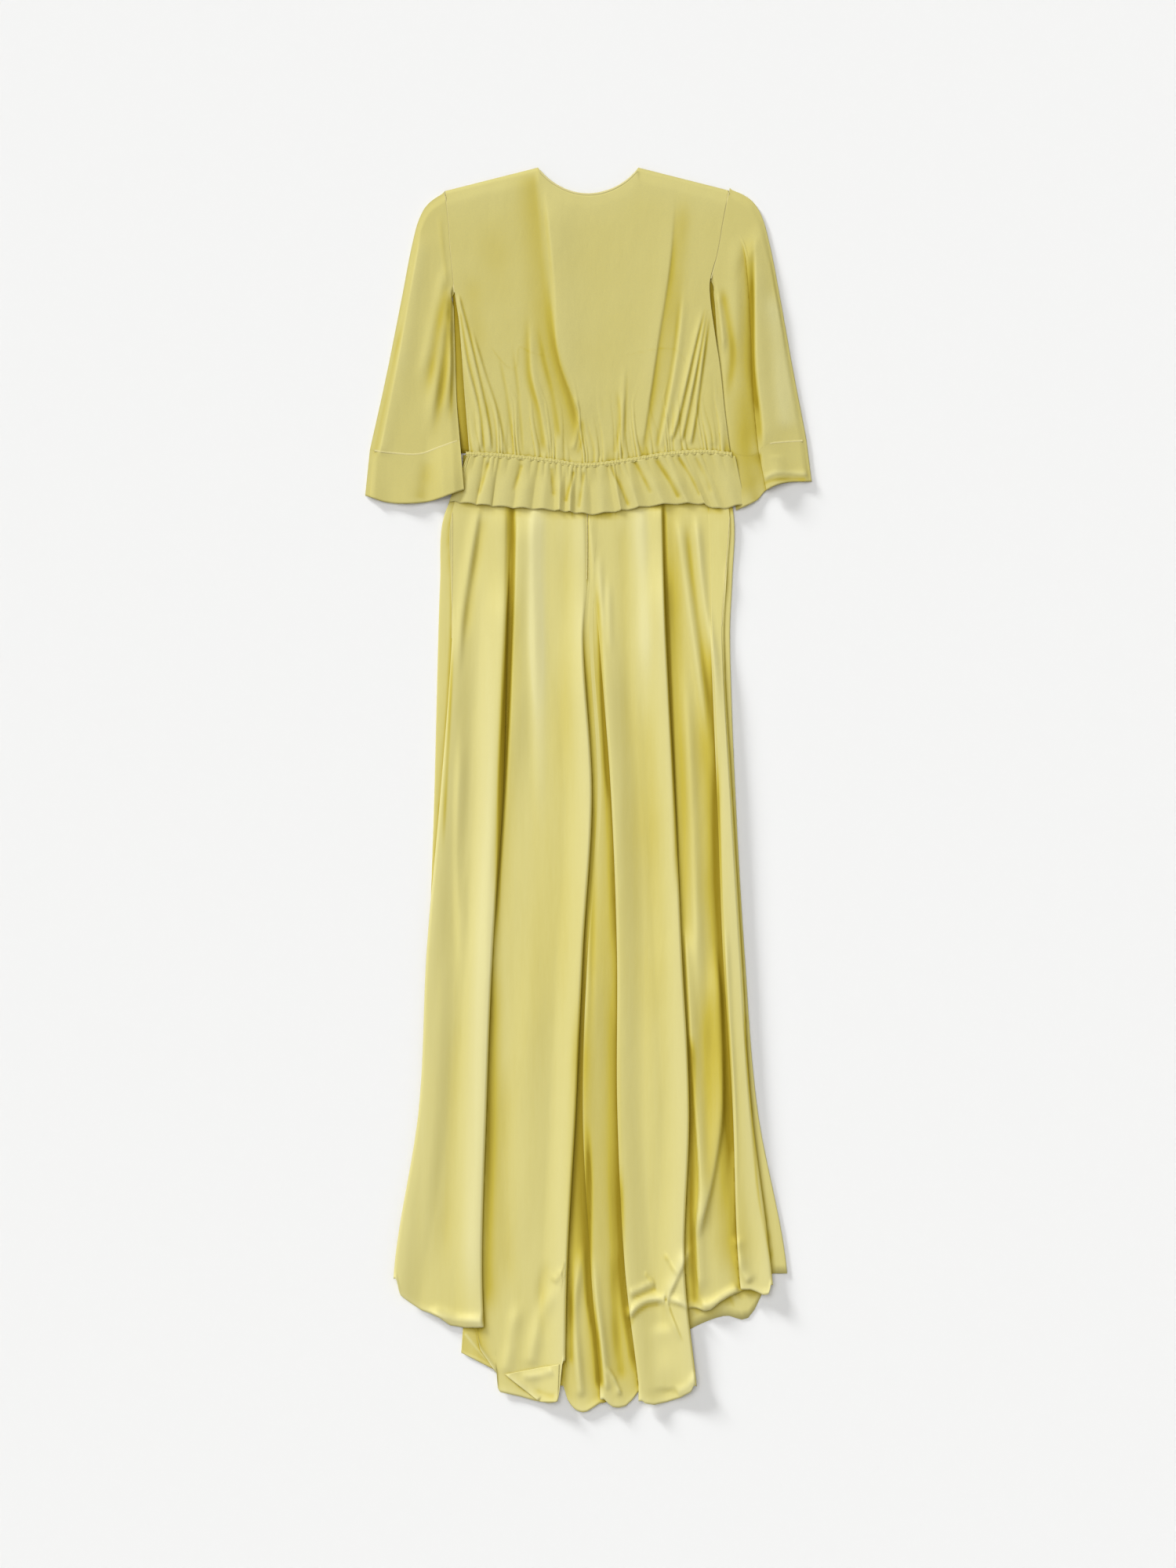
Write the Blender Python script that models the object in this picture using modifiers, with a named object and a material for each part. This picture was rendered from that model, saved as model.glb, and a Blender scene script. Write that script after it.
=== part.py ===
"""Maxi dress laid flat, back side up: satin skirt, sheer gathered bodice, wide sleeves and a waist ruffle.

Frame: +Z up from the surface that the dress lies on, +Y towards the neck, +X to the picture's right.
The origin is on that surface, in the middle of the dress's length and width. Units are metres.
Places are given as a maker measures: x across from the centre line, and drop, the distance down
from the neck points. z is the height of a cloth's middle above the surface.
"""

import math
from typing import NamedTuple

import bpy

DRESS_LENGTH = 1.587
HALF_LENGTH = DRESS_LENGTH / 2
SATIN = 0.0010
CHIFFON = 0.0010
SEAM_GAP = 0.0004
FLOUNCE_GAP = 0.0006

FLOOR_SATIN_Z = SATIN / 2
FLOOR_CHIFFON_Z = CHIFFON / 2
REST_Z = 0.0023
WRAP_Z = 0.0024
ON_WRAP_Z = 0.0040
BODICE_BACK_Z = 0.0046
SLIP_Z = 0.0020

WAIST_DROP = 0.386
RUFFLE_LIFT = 0.0014
RUFFLE_LIFT_ENDS = (0.445, 0.520)

COLLECTION = "maxi_dress"

# Drops at which the skirt's fold tables give a value, from the waist seam to the hem.
LEVELS = (0.386, 0.450, 0.600, 0.800, 1.000, 1.200, 1.400, 1.550)


class Fold(NamedTuple):
    """A lengthwise fold of the skirt's back: over is 1 where the left cloth lies over the right one.

    edge is the visible edge's x at each level and deep says how far the fold has formed there, 0 to 1.
    tuck is how far the cloth runs back under the edge; top and step are the edge's height and its drop
    to the cloth beside it; lying is its height where it has not formed. hem_edge, hem_tuck and hem_low
    are the hem's drops on the fold's three layers.
    """

    name: str
    over: int
    edge: tuple
    deep: tuple
    tuck: float
    top: float
    step: float
    lying: float
    hem_edge: float
    hem_tuck: float
    hem_low: float


class Panel(NamedTuple):
    """The flat cloth between two folds: its hem's drops at PANEL_HEM_STOPS across it, and its crown."""

    hem_start: float
    hem_third: float
    hem_two_thirds: float
    hem_end: float
    crown: float


PANEL_HEM_STOPS = (0.08, 1 / 3, 2 / 3, 0.92)


class Layer(NamedTuple):
    """A layer across a fold: how far it is tucked under, which way it turns, and its share of the drop."""

    tucked: float
    rounding: int
    lowered: float


FOLD_LAYERS = (
    Layer(0, -1, 0.0),
    Layer(0, 0, 0.24),
    Layer(0.5, 0, 0.5),
    Layer(1, 0, 0.76),
    Layer(1, 1, 1.0),
)

SIDE_FOLD_LEFT = Fold(
    "side left", -1,
    (-0.1560, -0.1735, -0.1735, -0.1885, -0.2060, -0.2160, -0.2470, -0.2490),
    (0.00, 0.00, 0.15, 0.50, 0.80, 1.00, 1.00, 1.00),
    0.010, 0.0103, 0.0064, ON_WRAP_Z, 1.416, 1.412, 1.408,
)
LEFT_PLEAT = Fold(
    "left pleat", 1,
    (-0.0990, -0.1000, -0.1040, -0.1090, -0.1220, -0.1300, -0.1355, -0.1300),
    (0.00, 0.04, 0.35, 0.70, 0.90, 1.00, 1.00, 0.90),
    0.014, 0.0112, 0.0088, REST_Z, 1.480, 1.496, 1.514,
)
CENTRE_PLEAT = Fold(
    "centre pleat", 1,
    (-0.0015, -0.0015, -0.0070, 0.0045, -0.0070, -0.0160, -0.0270, -0.0300),
    (0.00, 0.00, 0.40, 0.75, 0.90, 1.00, 1.00, 0.90),
    0.014, 0.0110, 0.0085, REST_Z, 1.570, 1.562, 1.556,
)
INNER_PLEAT = Fold(
    "inner pleat", -1,
    (0.0085, 0.0085, 0.0045, 0.0150, -0.0005, -0.0070, 0.0030, 0.0150),
    (0.00, 0.00, 0.00, 0.00, 0.15, 0.60, 0.95, 1.00),
    0.009, 0.0088, 0.0062, REST_Z, 1.570, 1.572, 1.574,
)
RIGHT_PLEAT = Fold(
    "right pleat", -1,
    (0.0185, 0.0185, 0.0140, 0.0290, 0.0365, 0.0370, 0.0465, 0.0640),
    (0.00, 0.00, 0.45, 0.75, 0.90, 1.00, 1.00, 0.90),
    0.012, 0.0110, 0.0085, REST_Z, 1.572, 1.564, 1.560,
)
RIGHT_EDGE = Fold(
    "right edge", 1,
    (0.0935, 0.0940, 0.0990, 0.1100, 0.1190, 0.1285, 0.1225, 0.1375),
    (0.00, 0.04, 0.45, 0.80, 0.95, 1.00, 1.00, 0.80),
    0.013, 0.0115, 0.0090, REST_Z, 1.552, 1.526, 1.500,
)
OUTER_PLEAT = Fold(
    "outer pleat", -1,
    (0.1480, 0.1520, 0.1560, 0.1640, 0.1715, 0.1840, 0.1915, 0.2050),
    (0.00, 0.00, 0.10, 0.60, 0.90, 1.00, 1.00, 1.00),
    0.009, 0.0110, 0.0085, REST_Z, 1.432, 1.436, 1.434,
)
SIDE_FOLD_RIGHT = Fold(
    "side right", 1,
    (0.1690, 0.1780, 0.1715, 0.1830, 0.1950, 0.2080, 0.2290, 0.2440),
    (0.00, 0.00, 0.10, 0.30, 0.60, 1.00, 1.00, 1.00),
    0.009, 0.0103, 0.0064, ON_WRAP_Z, 1.424, 1.420, 1.416,
)

LEFT_PANEL = Panel(1.436, 1.458, 1.472, 1.479, 0.0)
CENTRE_LEFT_PANEL = Panel(1.556, 1.564, 1.572, 1.574, 0.0)
INNER_STRIP = Panel(1.565, 1.578, 1.5893, 1.578, 0.0010)
MIDDLE_STRIP = Panel(1.576, 1.583, 1.581, 1.568, 0.0012)
CENTRE_RIGHT_PANEL = Panel(1.575, 1.577, 1.572, 1.557, 0.0)
RIGHT_STRIP = Panel(1.488, 1.472, 1.464, 1.466, 0.0022)
OUTER_PANEL = Panel(1.436, 1.437, 1.434, 1.430, 0.0)

# The skirt's front: the outlines of its wrapped sides and its hem.
FRONT_LEFT_EDGE = (-0.1580, -0.1855, -0.1915, -0.1965, -0.2035, -0.2120, -0.2380, -0.2400)
FRONT_RIGHT_EDGE = (0.1740, 0.1860, 0.1805, 0.1875, 0.1990, 0.2155, 0.2525, 0.2535)
FRONT_HEM = ((-0.240, 1.385), (-0.150, 1.440), (-0.080, 1.500), (0.0, 1.520), (0.075, 1.510),
             (0.140, 1.476), (0.175, 1.464), (0.205, 1.466), (0.235, 1.412), (0.2535, 1.410))
WRAP_LAP = 0.005
WRAP_TURN = 0.002
FRONT_STEPS = 10

SKIRT_ROWS = (0, 0.05, 0.11, 0.18, 0.26, 0.34, 0.43, 0.52, 0.61, 0.70, 0.78, 0.85, 0.91, 0.96, 1)
ROUND_LENGTH = 0.0024
LOOSE_LENGTH = 0.0022
FORMED = 0.30
FOLD_PIECES = 2
PANEL_STOPS = (0.10, 0.28, 0.52, 0.76, 0.92)
EDGE_RISE_LENGTH = 0.034
HIGHEST_RISE = 0.0092

# Outlines of the bodice and sleeves, as (x, drop) down each line.
NECK_HALF_WIDTH = 0.0640
NECK_SCOOP = 0.033
NECK_SCOOP_SHARPNESS = 0.85
SHOULDER_X = 0.1830
SHOULDER_DROP = 0.030
ARMHOLE_LEFT = ((-0.1830, 0.030), (-0.1785, 0.070), (-0.1755, 0.110), (-0.1705, 0.162))
ARMHOLE_RIGHT = ((0.1800, 0.026), (0.1715, 0.070), (0.1645, 0.110), (0.1555, 0.144))
BACK_LEFT_SIDE = (*ARMHOLE_LEFT, (-0.1650, 0.200), (-0.1585, 0.286), (-0.1520, 0.366))
BACK_RIGHT_SIDE = (*ARMHOLE_RIGHT, (0.1560, 0.170), (0.1600, 0.200), (0.1690, 0.260),
                   (0.1740, 0.308), (0.1815, 0.366))
FRONT_LEFT_SIDE = (*ARMHOLE_LEFT, (-0.1675, 0.200), (-0.1640, 0.286), (-0.1600, 0.366))
FRONT_RIGHT_SIDE = (*ARMHOLE_RIGHT, (0.1535, 0.190), (0.1615, 0.260), (0.1665, 0.308),
                    (0.1740, 0.366))
SHOULDER_Z = 0.0021
NECK_Z = BODICE_BACK_Z - 0.0008
SHOULDER_ROUND_LENGTH = 0.020
SIDE_ROUND_LENGTH = 0.012
CASING_COVER = 0.001
FRONT_V_DROP = 0.300
FRONT_COLUMNS = 9
WAIST_LINE = ((-0.1620, 0.365), (-0.110, 0.368), (-0.050, 0.374), (-0.005, 0.380), (0.050, 0.374),
              (0.100, 0.366), (0.150, 0.363), (0.188, 0.367))

GATHERS = 34
GATHER_POINTS = 3
GATHER_HEIGHT = 0.0020
DRAWN_IN_LENGTH = 0.045
DRAWN_IN_SHARE = 0.8
DRAPE_LEAD = 0.03
DRAPE_FADE_LENGTH = 0.09
GATHER_LENGTH = 0.100
GATHER_LENGTH_MEAN = 0.62
GATHER_LENGTH_SWING = 0.38
GATHER_LENGTH_TURN = 2.4
GATHER_SPREAD = 0.62
GATHER_SPREAD_SPEED = 1.25
BODICE_ROWS = (0, 0.06, 0.20, 0.345, 0.46, 0.60, 0.72, 0.82, 0.91, 1)


class Drape(NamedTuple):
    """A long soft ridge or trough of the bodice, along a line from one (x, drop) to another."""

    start: tuple
    middle: tuple
    end: tuple
    width: float
    height: float


BODICE_DRAPES = (
    Drape((-0.060, 0.010), (-0.040, 0.240), (-0.006, 0.374), 0.016, 0.0038),
    Drape((-0.090, 0.060), (-0.064, 0.240), (-0.030, 0.374), 0.014, -0.0010),
    Drape((0.112, 0.030), (0.094, 0.220), (0.074, 0.370), 0.010, 0.0030),
    Drape((0.100, 0.030), (0.080, 0.220), (0.064, 0.370), 0.007, -0.0010),
    Drape((-0.158, 0.190), (-0.140, 0.270), (-0.118, 0.366), 0.006, 0.0026),
    Drape((0.146, 0.180), (0.130, 0.270), (0.112, 0.362), 0.006, 0.0026),
)


class Ruffle(NamedTuple):
    """A wave of the waist ruffle: x at its sewn top and at its hem, its height and its lean."""

    x_top: float
    x_hem: float
    height: float
    lean: float


RUFFLES = (
    Ruffle(-0.1500, -0.1640, 0.0010, 0.0),
    Ruffle(-0.131, -0.1480, 0.0070, -0.8),
    Ruffle(-0.108, -0.1200, 0.0080, -0.8),
    Ruffle(-0.086, -0.0960, 0.0070, -0.4),
    Ruffle(-0.066, -0.0720, 0.0075, -0.3),
    Ruffle(-0.047, -0.0500, 0.0085, 0.5),
    Ruffle(-0.029, -0.0300, 0.0080, 0.4),
    Ruffle(-0.014, -0.0145, 0.0085, 0.3),
    Ruffle(0.001, 0.0040, 0.0070, 0.2),
    Ruffle(0.017, 0.0240, 0.0085, 0.5),
    Ruffle(0.034, 0.0450, 0.0080, 0.7),
    Ruffle(0.054, 0.0700, 0.0090, 0.9),
    Ruffle(0.075, 0.0990, 0.0085, 0.9),
    Ruffle(0.098, 0.1260, 0.0090, 0.9),
    Ruffle(0.122, 0.1500, 0.0070, 0.7),
    Ruffle(0.145, 0.1720, 0.0055, 0.5),
    Ruffle(0.168, 0.1900, 0.0045, 0.3),
)
RUFFLE_POINTS = 6
RUFFLE_ROWS = (0, 0.22, 0.58, 1)
RUFFLE_TOP_Z = 0.0058
RUFFLE_Z = 0.0070
RUFFLE_HEM = ((-0.1775, 0.4265), (-0.148, 0.430), (-0.107, 0.434), (-0.042, 0.438), (0.005, 0.443),
              (0.030, 0.440), (0.092, 0.431), (0.145, 0.430), (0.165, 0.436), (0.2005, 0.430))
RUFFLE_TOP_INSET = 0.0012
RUFFLE_TOP_ENDS = (-0.1540, 0.1870)
RUFFLE_SWING = 0.0032
RUFFLE_SEWN_SHARE = 0.12
RUFFLE_OPENS = 1.6
RUFFLE_RISES = 3
RUFFLE_FRONT_TOP_ENDS = (-0.1600, 0.1740)
RUFFLE_FRONT_HEM_ENDS = (-0.1620, 0.1850)
RUFFLE_FRONT_SHORTER = 0.004
RUFFLE_FRONT_COLUMNS = 14

# Sleeves: outer and inner outlines as (x, drop), from the armhole to the flounce's seam.
LEFT_SLEEVE_OUTER = ((-0.1835, 0.030), (-0.2000, 0.040), (-0.2150, 0.064), (-0.2250, 0.100),
                     (-0.2385, 0.170), (-0.2585, 0.270), (-0.2785, 0.360))
LEFT_SLEEVE_INNER = ((-0.1722, 0.160), (-0.1715, 0.190), (-0.1700, 0.240), (-0.1680, 0.300),
                     (-0.1640, 0.347))
RIGHT_SLEEVE_OUTER = ((0.1810, 0.026), (0.2010, 0.035), (0.2190, 0.058), (0.2310, 0.098),
                      (0.2450, 0.170), (0.2610, 0.260), (0.2780, 0.352))
RIGHT_SLEEVE_INNER = ((0.1575, 0.144), (0.1572, 0.190), (0.1640, 0.260), (0.1690, 0.308),
                      (0.1765, 0.352))
LEFT_FLOUNCE_HEM = ((-0.2845, 0.418), (-0.2550, 0.427), (-0.2220, 0.428), (-0.1960, 0.424),
                    (-0.1585, 0.411))
RIGHT_FLOUNCE_HEM = ((0.2845, 0.400), (0.2500, 0.402), (0.2260, 0.412), (0.2150, 0.424),
                     (0.1885, 0.437))
SLEEVE_ROWS = (0, 0.05, 0.12, 0.26, 0.42, 0.58, 0.74, 0.88, 1)
SLEEVE_LAYER_STOPS = (0.0, 0.04, 0.12, 0.22, 0.32, 0.42, 0.52, 0.64, 0.76, 0.88, 0.96, 1.0)
SLEEVE_EDGE_Z = 0.0019
SLEEVE_UPPER_Z = 0.0042
SLEEVE_ROUND_SHARE = 0.12
SLEEVE_FOLD_LEAD = 0.35
FLOUNCE_ROWS = (0, 0.30, 0.65, 1)


class SleeveFold(NamedTuple):
    """A soft fold down a sleeve's upper layer, placed from the outer edge at 0 to the inner edge at 1."""

    at_top: float
    at_cuff: float
    width: float
    height: float


LEFT_SLEEVE_FOLDS = (
    SleeveFold(0.16, 0.10, 0.07, 0.0016),
    SleeveFold(0.60, 0.42, 0.13, 0.0030),
    SleeveFold(0.90, 0.72, 0.08, 0.0026),
)
RIGHT_SLEEVE_FOLDS = (
    SleeveFold(0.10, 0.12, 0.06, 0.0014),
    SleeveFold(0.70, 0.80, 0.07, 0.0022),
)

# The right sleeve's lengthwise fold, where its outer cloth lies over the inner cloth.
OVERFOLD_AT = (0.33, 0.34, 0.36, 0.41, 0.46, 0.51, 0.55, 0.58, 0.60)
OVERFOLD_DEEP = (0.0, 0.0, 0.06, 0.42, 0.85, 1.0, 1.0, 1.0, 1.0)
OVERFOLD_TUCK = 0.10
OVERFOLD_TURN = 0.035
OVERFOLD_TOP = 0.0092
OVERFOLD_STEP = 0.0062
OVERFOLD_LAYERS = (
    Layer(0, -1, 0.0),
    Layer(0, 0, 0.22),
    Layer(0.5, 0, 0.5),
    Layer(1, 0, 0.78),
    Layer(1, 1, 1.0),
)
OVERFOLD_LOOSE_TUCK = -0.02
OVERFOLD_LOOSE_TURN = 0.01
OVERFOLD_SETTLES_BY = 0.6
OUTSIDE_OVERFOLD = (0, 0.09, 0.25, 0.50, 0.75)
INSIDE_OVERFOLD = (0.22, 0.44, 0.66, 0.82, 0.93, 1)

# How far the left sleeve's inner edge is lifted, over the waist ruffle's end, by share of its length.
LIFT_FROM, LIFT_TO = 0.60, 0.82
LEFT_SLEEVE_LIFT = (0.0, 0.0, 0.0, 0.0, 0.0, 0.0, 0.0, 0.0010, 0.0030)
LEFT_FLOUNCE_LIFT = (0.0030, 0.0066, 0.0090, 0.0090)

class Sleeve(NamedTuple):
    """A wide elbow sleeve: its side, outlines, armhole, flounce hem, folds and lifts."""

    side: str
    sign: int
    outer: tuple
    inner: tuple
    armhole: tuple
    hem: tuple
    folds: tuple
    overfold: bool
    sleeve_lift: tuple
    flounce_lift: tuple


SLEEVES = (
    Sleeve("left", -1, LEFT_SLEEVE_OUTER, LEFT_SLEEVE_INNER, ARMHOLE_LEFT, LEFT_FLOUNCE_HEM,
           LEFT_SLEEVE_FOLDS, False, LEFT_SLEEVE_LIFT, LEFT_FLOUNCE_LIFT),
    Sleeve("right", 1, RIGHT_SLEEVE_OUTER, RIGHT_SLEEVE_INNER, ARMHOLE_RIGHT, RIGHT_FLOUNCE_HEM,
           RIGHT_SLEEVE_FOLDS, True, (0.0,) * len(SLEEVE_ROWS), (0.0,) * len(FLOUNCE_ROWS)),
)


SLIP_TOP = ((-0.150, 0.250), (-0.128, 0.232), (-0.098, 0.254), (-0.086, 0.236), (-0.040, 0.241),
            (0.040, 0.241), (0.095, 0.236), (0.115, 0.230), (0.150, 0.246))
SLIP_LEFT_X = -0.150
SLIP_RIGHT_X = 0.150
SLIP_BOTTOM_DROP = 0.356
SLIP_COLUMNS = 22
SLIP_ROWS = (0, 0.3, 0.65, 1)

CASING_WIDTH = 0.0065
CASING_THICKNESS = 0.0011
CASING_Z = 0.0084
CASING_CROWN = 0.0006
CASING_ENDS = (-0.1560, 0.1830)
CASING_COLUMNS = 40

YELLOW_SATIN = (0.66, 0.59, 0.22)
YELLOW_CHIFFON = (0.70, 0.62, 0.21)


def blend(a, b, share):
    """The value between a and b at that share of the way."""
    return a + (b - a) * share


def ease(share):
    """A smooth step from 0 to 1."""
    share = min(max(share, 0.0), 1.0)
    return share * share * (3 - 2 * share)


def along(stops, values, at):
    """A smooth curve through values at rising stops, level beyond both ends."""
    if at <= stops[0]:
        return values[0]
    if at >= stops[-1]:
        return values[-1]
    k = next(n for n in range(len(stops) - 1) if at <= stops[n + 1])
    length = stops[k + 1] - stops[k]

    def slope(n):
        low, high = max(n - 1, 0), min(n + 1, len(stops) - 1)
        return (values[high] - values[low]) / (stops[high] - stops[low])

    s = (at - stops[k]) / length
    return (
        values[k] * (1 + 2 * s) * (1 - s) ** 2
        + slope(k) * length * s * (1 - s) ** 2
        + values[k + 1] * (3 - 2 * s) * s**2
        - slope(k + 1) * length * s**2 * (1 - s)
    )


def across(line, x):
    """The second value of a line of pairs, at x along the first."""
    return along([p[0] for p in line], [p[1] for p in line], x)


def down(line, drop):
    """The x of an outline of (x, drop) pairs at that drop."""
    return along([p[1] for p in line], [p[0] for p in line], drop)


def travelled(line, share):
    """The (x, drop) that lies at that share of an outline's length."""
    lengths = [0.0]
    for a, b in zip(line, line[1:]):
        lengths.append(lengths[-1] + math.dist(a, b))
    at = share * lengths[-1]
    return tuple(along(lengths, [p[n] for p in line], at) for n in (0, 1))


def place(x, drop, z):
    """A point of the part's frame."""
    return (x, HALF_LENGTH - drop, z)


def rounded(knots, pieces):
    """A smooth row of points through knots, with that many pieces between two knots."""
    last = len(knots) - 1
    row = []
    for k in range(last):
        p0, p1, p2, p3 = (knots[min(max(n, 0), last)] for n in (k - 1, k, k + 1, k + 2))
        for n in range(pieces):
            s = n / pieces
            row.append(tuple(
                0.5 * (2 * b + (c - a) * s + (2 * a - 5 * b + 4 * c - d) * s * s
                       + (3 * b - a - 3 * c + d) * s**3)
                for a, b, c, d in zip(p0, p1, p2, p3)
            ))
    row.append(knots[-1])
    return row


def material(name, colour, roughness):
    """One cloth's plain material."""
    made = bpy.data.materials.new(name)
    made.use_nodes = True
    shader = made.node_tree.nodes["Principled BSDF"]
    shader.inputs["Base Color"].default_value = (*colour, 1)
    shader.inputs["Roughness"].default_value = roughness
    shader.inputs["Metallic"].default_value = 0.0
    made.diffuse_color = (*colour, 1)
    return made


def cloth(name, rows, thickness, finish, ring=False):
    """A wall of cloth through rows of points, as thick to one side of them as to the other."""
    columns = len(rows[0])
    steps = columns if ring else columns - 1
    faces = []
    for r in range(len(rows) - 1):
        for c in range(steps):
            nxt = (c + 1) % columns
            faces.append((
                r * columns + c,
                (r + 1) * columns + c,
                (r + 1) * columns + nxt,
                r * columns + nxt,
            ))
    mesh = bpy.data.meshes.new(name)
    mesh.from_pydata([point for row in rows for point in row], [], faces)
    mesh.shade_smooth()
    piece = bpy.data.objects.new(name, mesh)
    bpy.data.collections[COLLECTION].objects.link(piece)
    piece.data.materials.append(finish)
    wall = piece.modifiers.new("wall", "SOLIDIFY")
    wall.thickness = thickness
    wall.offset = 0
    return piece


def ruffle_lift(drop):
    """How far the waist ruffle's hidden front lifts the skirt off the surface."""
    start, end = RUFFLE_LIFT_ENDS
    return RUFFLE_LIFT * (1 - ease((drop - start) / (end - start)))


def row_drop(hem, share):
    """The drop on a skirt column with that hem, at that share of its length."""
    return blend(WAIST_DROP, hem, share)


def fold_knots(fold, share):
    """The five knots of a fold from its top layer, round its edge and tuck, to the low layer."""

    def knot(hem, layer):
        drop = row_drop(hem, share)
        deep = max(along(LEVELS, fold.deep, drop), 0.0)
        formed = ease(deep / FORMED)
        tuck = blend(-LOOSE_LENGTH, fold.tuck, deep)
        top = blend(fold.lying, fold.top, formed)
        turn = layer.rounding * blend(LOOSE_LENGTH / 2, ROUND_LENGTH, formed)
        edge = along(LEVELS, fold.edge, drop)
        x = edge - fold.over * (layer.tucked * tuck - turn)
        return place(x, drop, top - layer.lowered * fold.step * formed + ruffle_lift(drop))

    middle_hem = blend(fold.hem_edge, fold.hem_tuck, 0.5)
    hems = (fold.hem_edge, fold.hem_edge, middle_hem, fold.hem_tuck, fold.hem_low)
    knots = [knot(hem, layer) for hem, layer in zip(hems, FOLD_LAYERS)]
    return knots if fold.over > 0 else knots[::-1]


def panel_knots(panel, before, after, share):
    """The knots of the cloth between two folds' nearest knots: raised at both edges, at rest between."""
    knots = []
    width = abs(after[0] - before[0])
    for stop in PANEL_STOPS:
        from_start = min(stop * width / EDGE_RISE_LENGTH, 1)
        from_end = min((1 - stop) * width / EDGE_RISE_LENGTH, 1)
        inner = [row_drop(panel[n], share) for n in range(len(PANEL_HEM_STOPS))]
        drops = (HALF_LENGTH - before[1], *inner, HALF_LENGTH - after[1])
        drop = along((0, *PANEL_HEM_STOPS, 1), drops, stop)
        rest = REST_Z + ruffle_lift(drop) + panel.crown * share * math.sin(math.pi * stop)
        rise = (before[2] - rest) * (1 - ease(from_start))
        fall = (after[2] - rest) * (1 - ease(from_end))
        shared = max(rise, 0) * max(fall, 0) / HIGHEST_RISE
        knots.append(place(blend(before[0], after[0], stop), drop, rest + rise + fall - shared))
    return knots


def skirt_row(parts, share):
    """One row across folds and panels in turn, from left to right, rounded through each fold."""
    spans = [fold_knots(part, share) if isinstance(part, Fold) else part for part in parts]
    row = []
    for n, span in enumerate(spans):
        if isinstance(span, Panel):
            row += panel_knots(span, spans[n - 1][-1], spans[n + 1][0], share)
        else:
            row += rounded(span, FOLD_PIECES)
    return row


def skirt_back(finish):
    """The skirt's back in two pieces, which meet at the centre seam inside the centre pleat."""
    left = (SIDE_FOLD_LEFT, LEFT_PANEL, LEFT_PLEAT, CENTRE_LEFT_PANEL, CENTRE_PLEAT)
    right = (CENTRE_PLEAT, INNER_STRIP, INNER_PLEAT, MIDDLE_STRIP, RIGHT_PLEAT,
             CENTRE_RIGHT_PANEL, RIGHT_EDGE, RIGHT_STRIP, OUTER_PLEAT, OUTER_PANEL, SIDE_FOLD_RIGHT)
    hidden = FOLD_PIECES
    past_seam = 2 * FOLD_PIECES
    to_seam = past_seam + 1
    left_rows = [skirt_row(left, share)[hidden:-past_seam] for share in SKIRT_ROWS]
    right_rows = [skirt_row(right, share)[to_seam:-hidden] for share in SKIRT_ROWS]
    cloth("skirt_back_left", left_rows, SATIN, finish)
    cloth("skirt_back_right", right_rows, SATIN, finish)


def skirt_front(finish):
    """The skirt's front, flat on the surface, with both sides wrapped up and over to the side seams."""
    rows = []
    for share in SKIRT_ROWS:
        def point(x_of, hem, z):
            drop = row_drop(hem, share)
            return place(x_of(drop), drop, z + ruffle_lift(drop))

        def left(drop):
            return along(LEVELS, FRONT_LEFT_EDGE, drop)

        def right(drop):
            return along(LEVELS, FRONT_RIGHT_EDGE, drop)

        def lap_left(drop):
            return max(along(LEVELS, SIDE_FOLD_LEFT.edge, drop), left(drop)) + WRAP_LAP

        def lap_right(drop):
            return min(along(LEVELS, SIDE_FOLD_RIGHT.edge, drop), right(drop)) - WRAP_LAP

        hem_left, hem_right = FRONT_HEM[0][1], FRONT_HEM[-1][1]
        half_turn = (WRAP_Z + FLOOR_SATIN_Z) / 2
        row = [
            point(lap_left, hem_left, WRAP_Z),
            point(lambda d: left(d) + WRAP_TURN, hem_left, WRAP_Z),
            point(left, hem_left, half_turn),
            point(lambda d: left(d) + WRAP_TURN, hem_left, FLOOR_SATIN_Z),
        ]
        for n in range(1, FRONT_STEPS):
            side = n / FRONT_STEPS
            hem = across(FRONT_HEM, blend(FRONT_LEFT_EDGE[-1], FRONT_RIGHT_EDGE[-1], side))
            row.append(point(lambda d: blend(left(d), right(d), side), hem, FLOOR_SATIN_Z))
        row += [
            point(lambda d: right(d) - WRAP_TURN, hem_right, FLOOR_SATIN_Z),
            point(right, hem_right, half_turn),
            point(lambda d: right(d) - WRAP_TURN, hem_right, WRAP_Z),
            point(lap_right, hem_right, WRAP_Z),
        ]
        rows.append(row)
    cloth("skirt_front", rows, SATIN, finish)


def neck_and_shoulder_drop(x):
    """The drop of the bodice's top outline: a shallow scooped neck between straight shoulders."""
    side = abs(x)
    if side < NECK_HALF_WIDTH:
        scoop = 1 - (side / NECK_HALF_WIDTH) ** 2
        return NECK_SCOOP * scoop**NECK_SCOOP_SHARPNESS
    return SHOULDER_DROP * (side - NECK_HALF_WIDTH) / (SHOULDER_X - NECK_HALF_WIDTH)


def drape_height(drape, x, drop):
    """How far a long soft fold raises the cloth at that place."""
    stops = (drape.start[1], drape.middle[1], drape.end[1])
    centre = along(stops, (drape.start[0], drape.middle[0], drape.end[0]), drop)
    drawn_in = 1 - DRAWN_IN_SHARE * ease((drop - stops[2] + DRAWN_IN_LENGTH) / DRAWN_IN_LENGTH)
    fade = ease((drop - drape.start[1] + DRAPE_LEAD) / DRAPE_FADE_LENGTH) * drawn_in
    return drape.height * fade * math.exp(-(((x - centre) / drape.width) ** 2))


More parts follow.
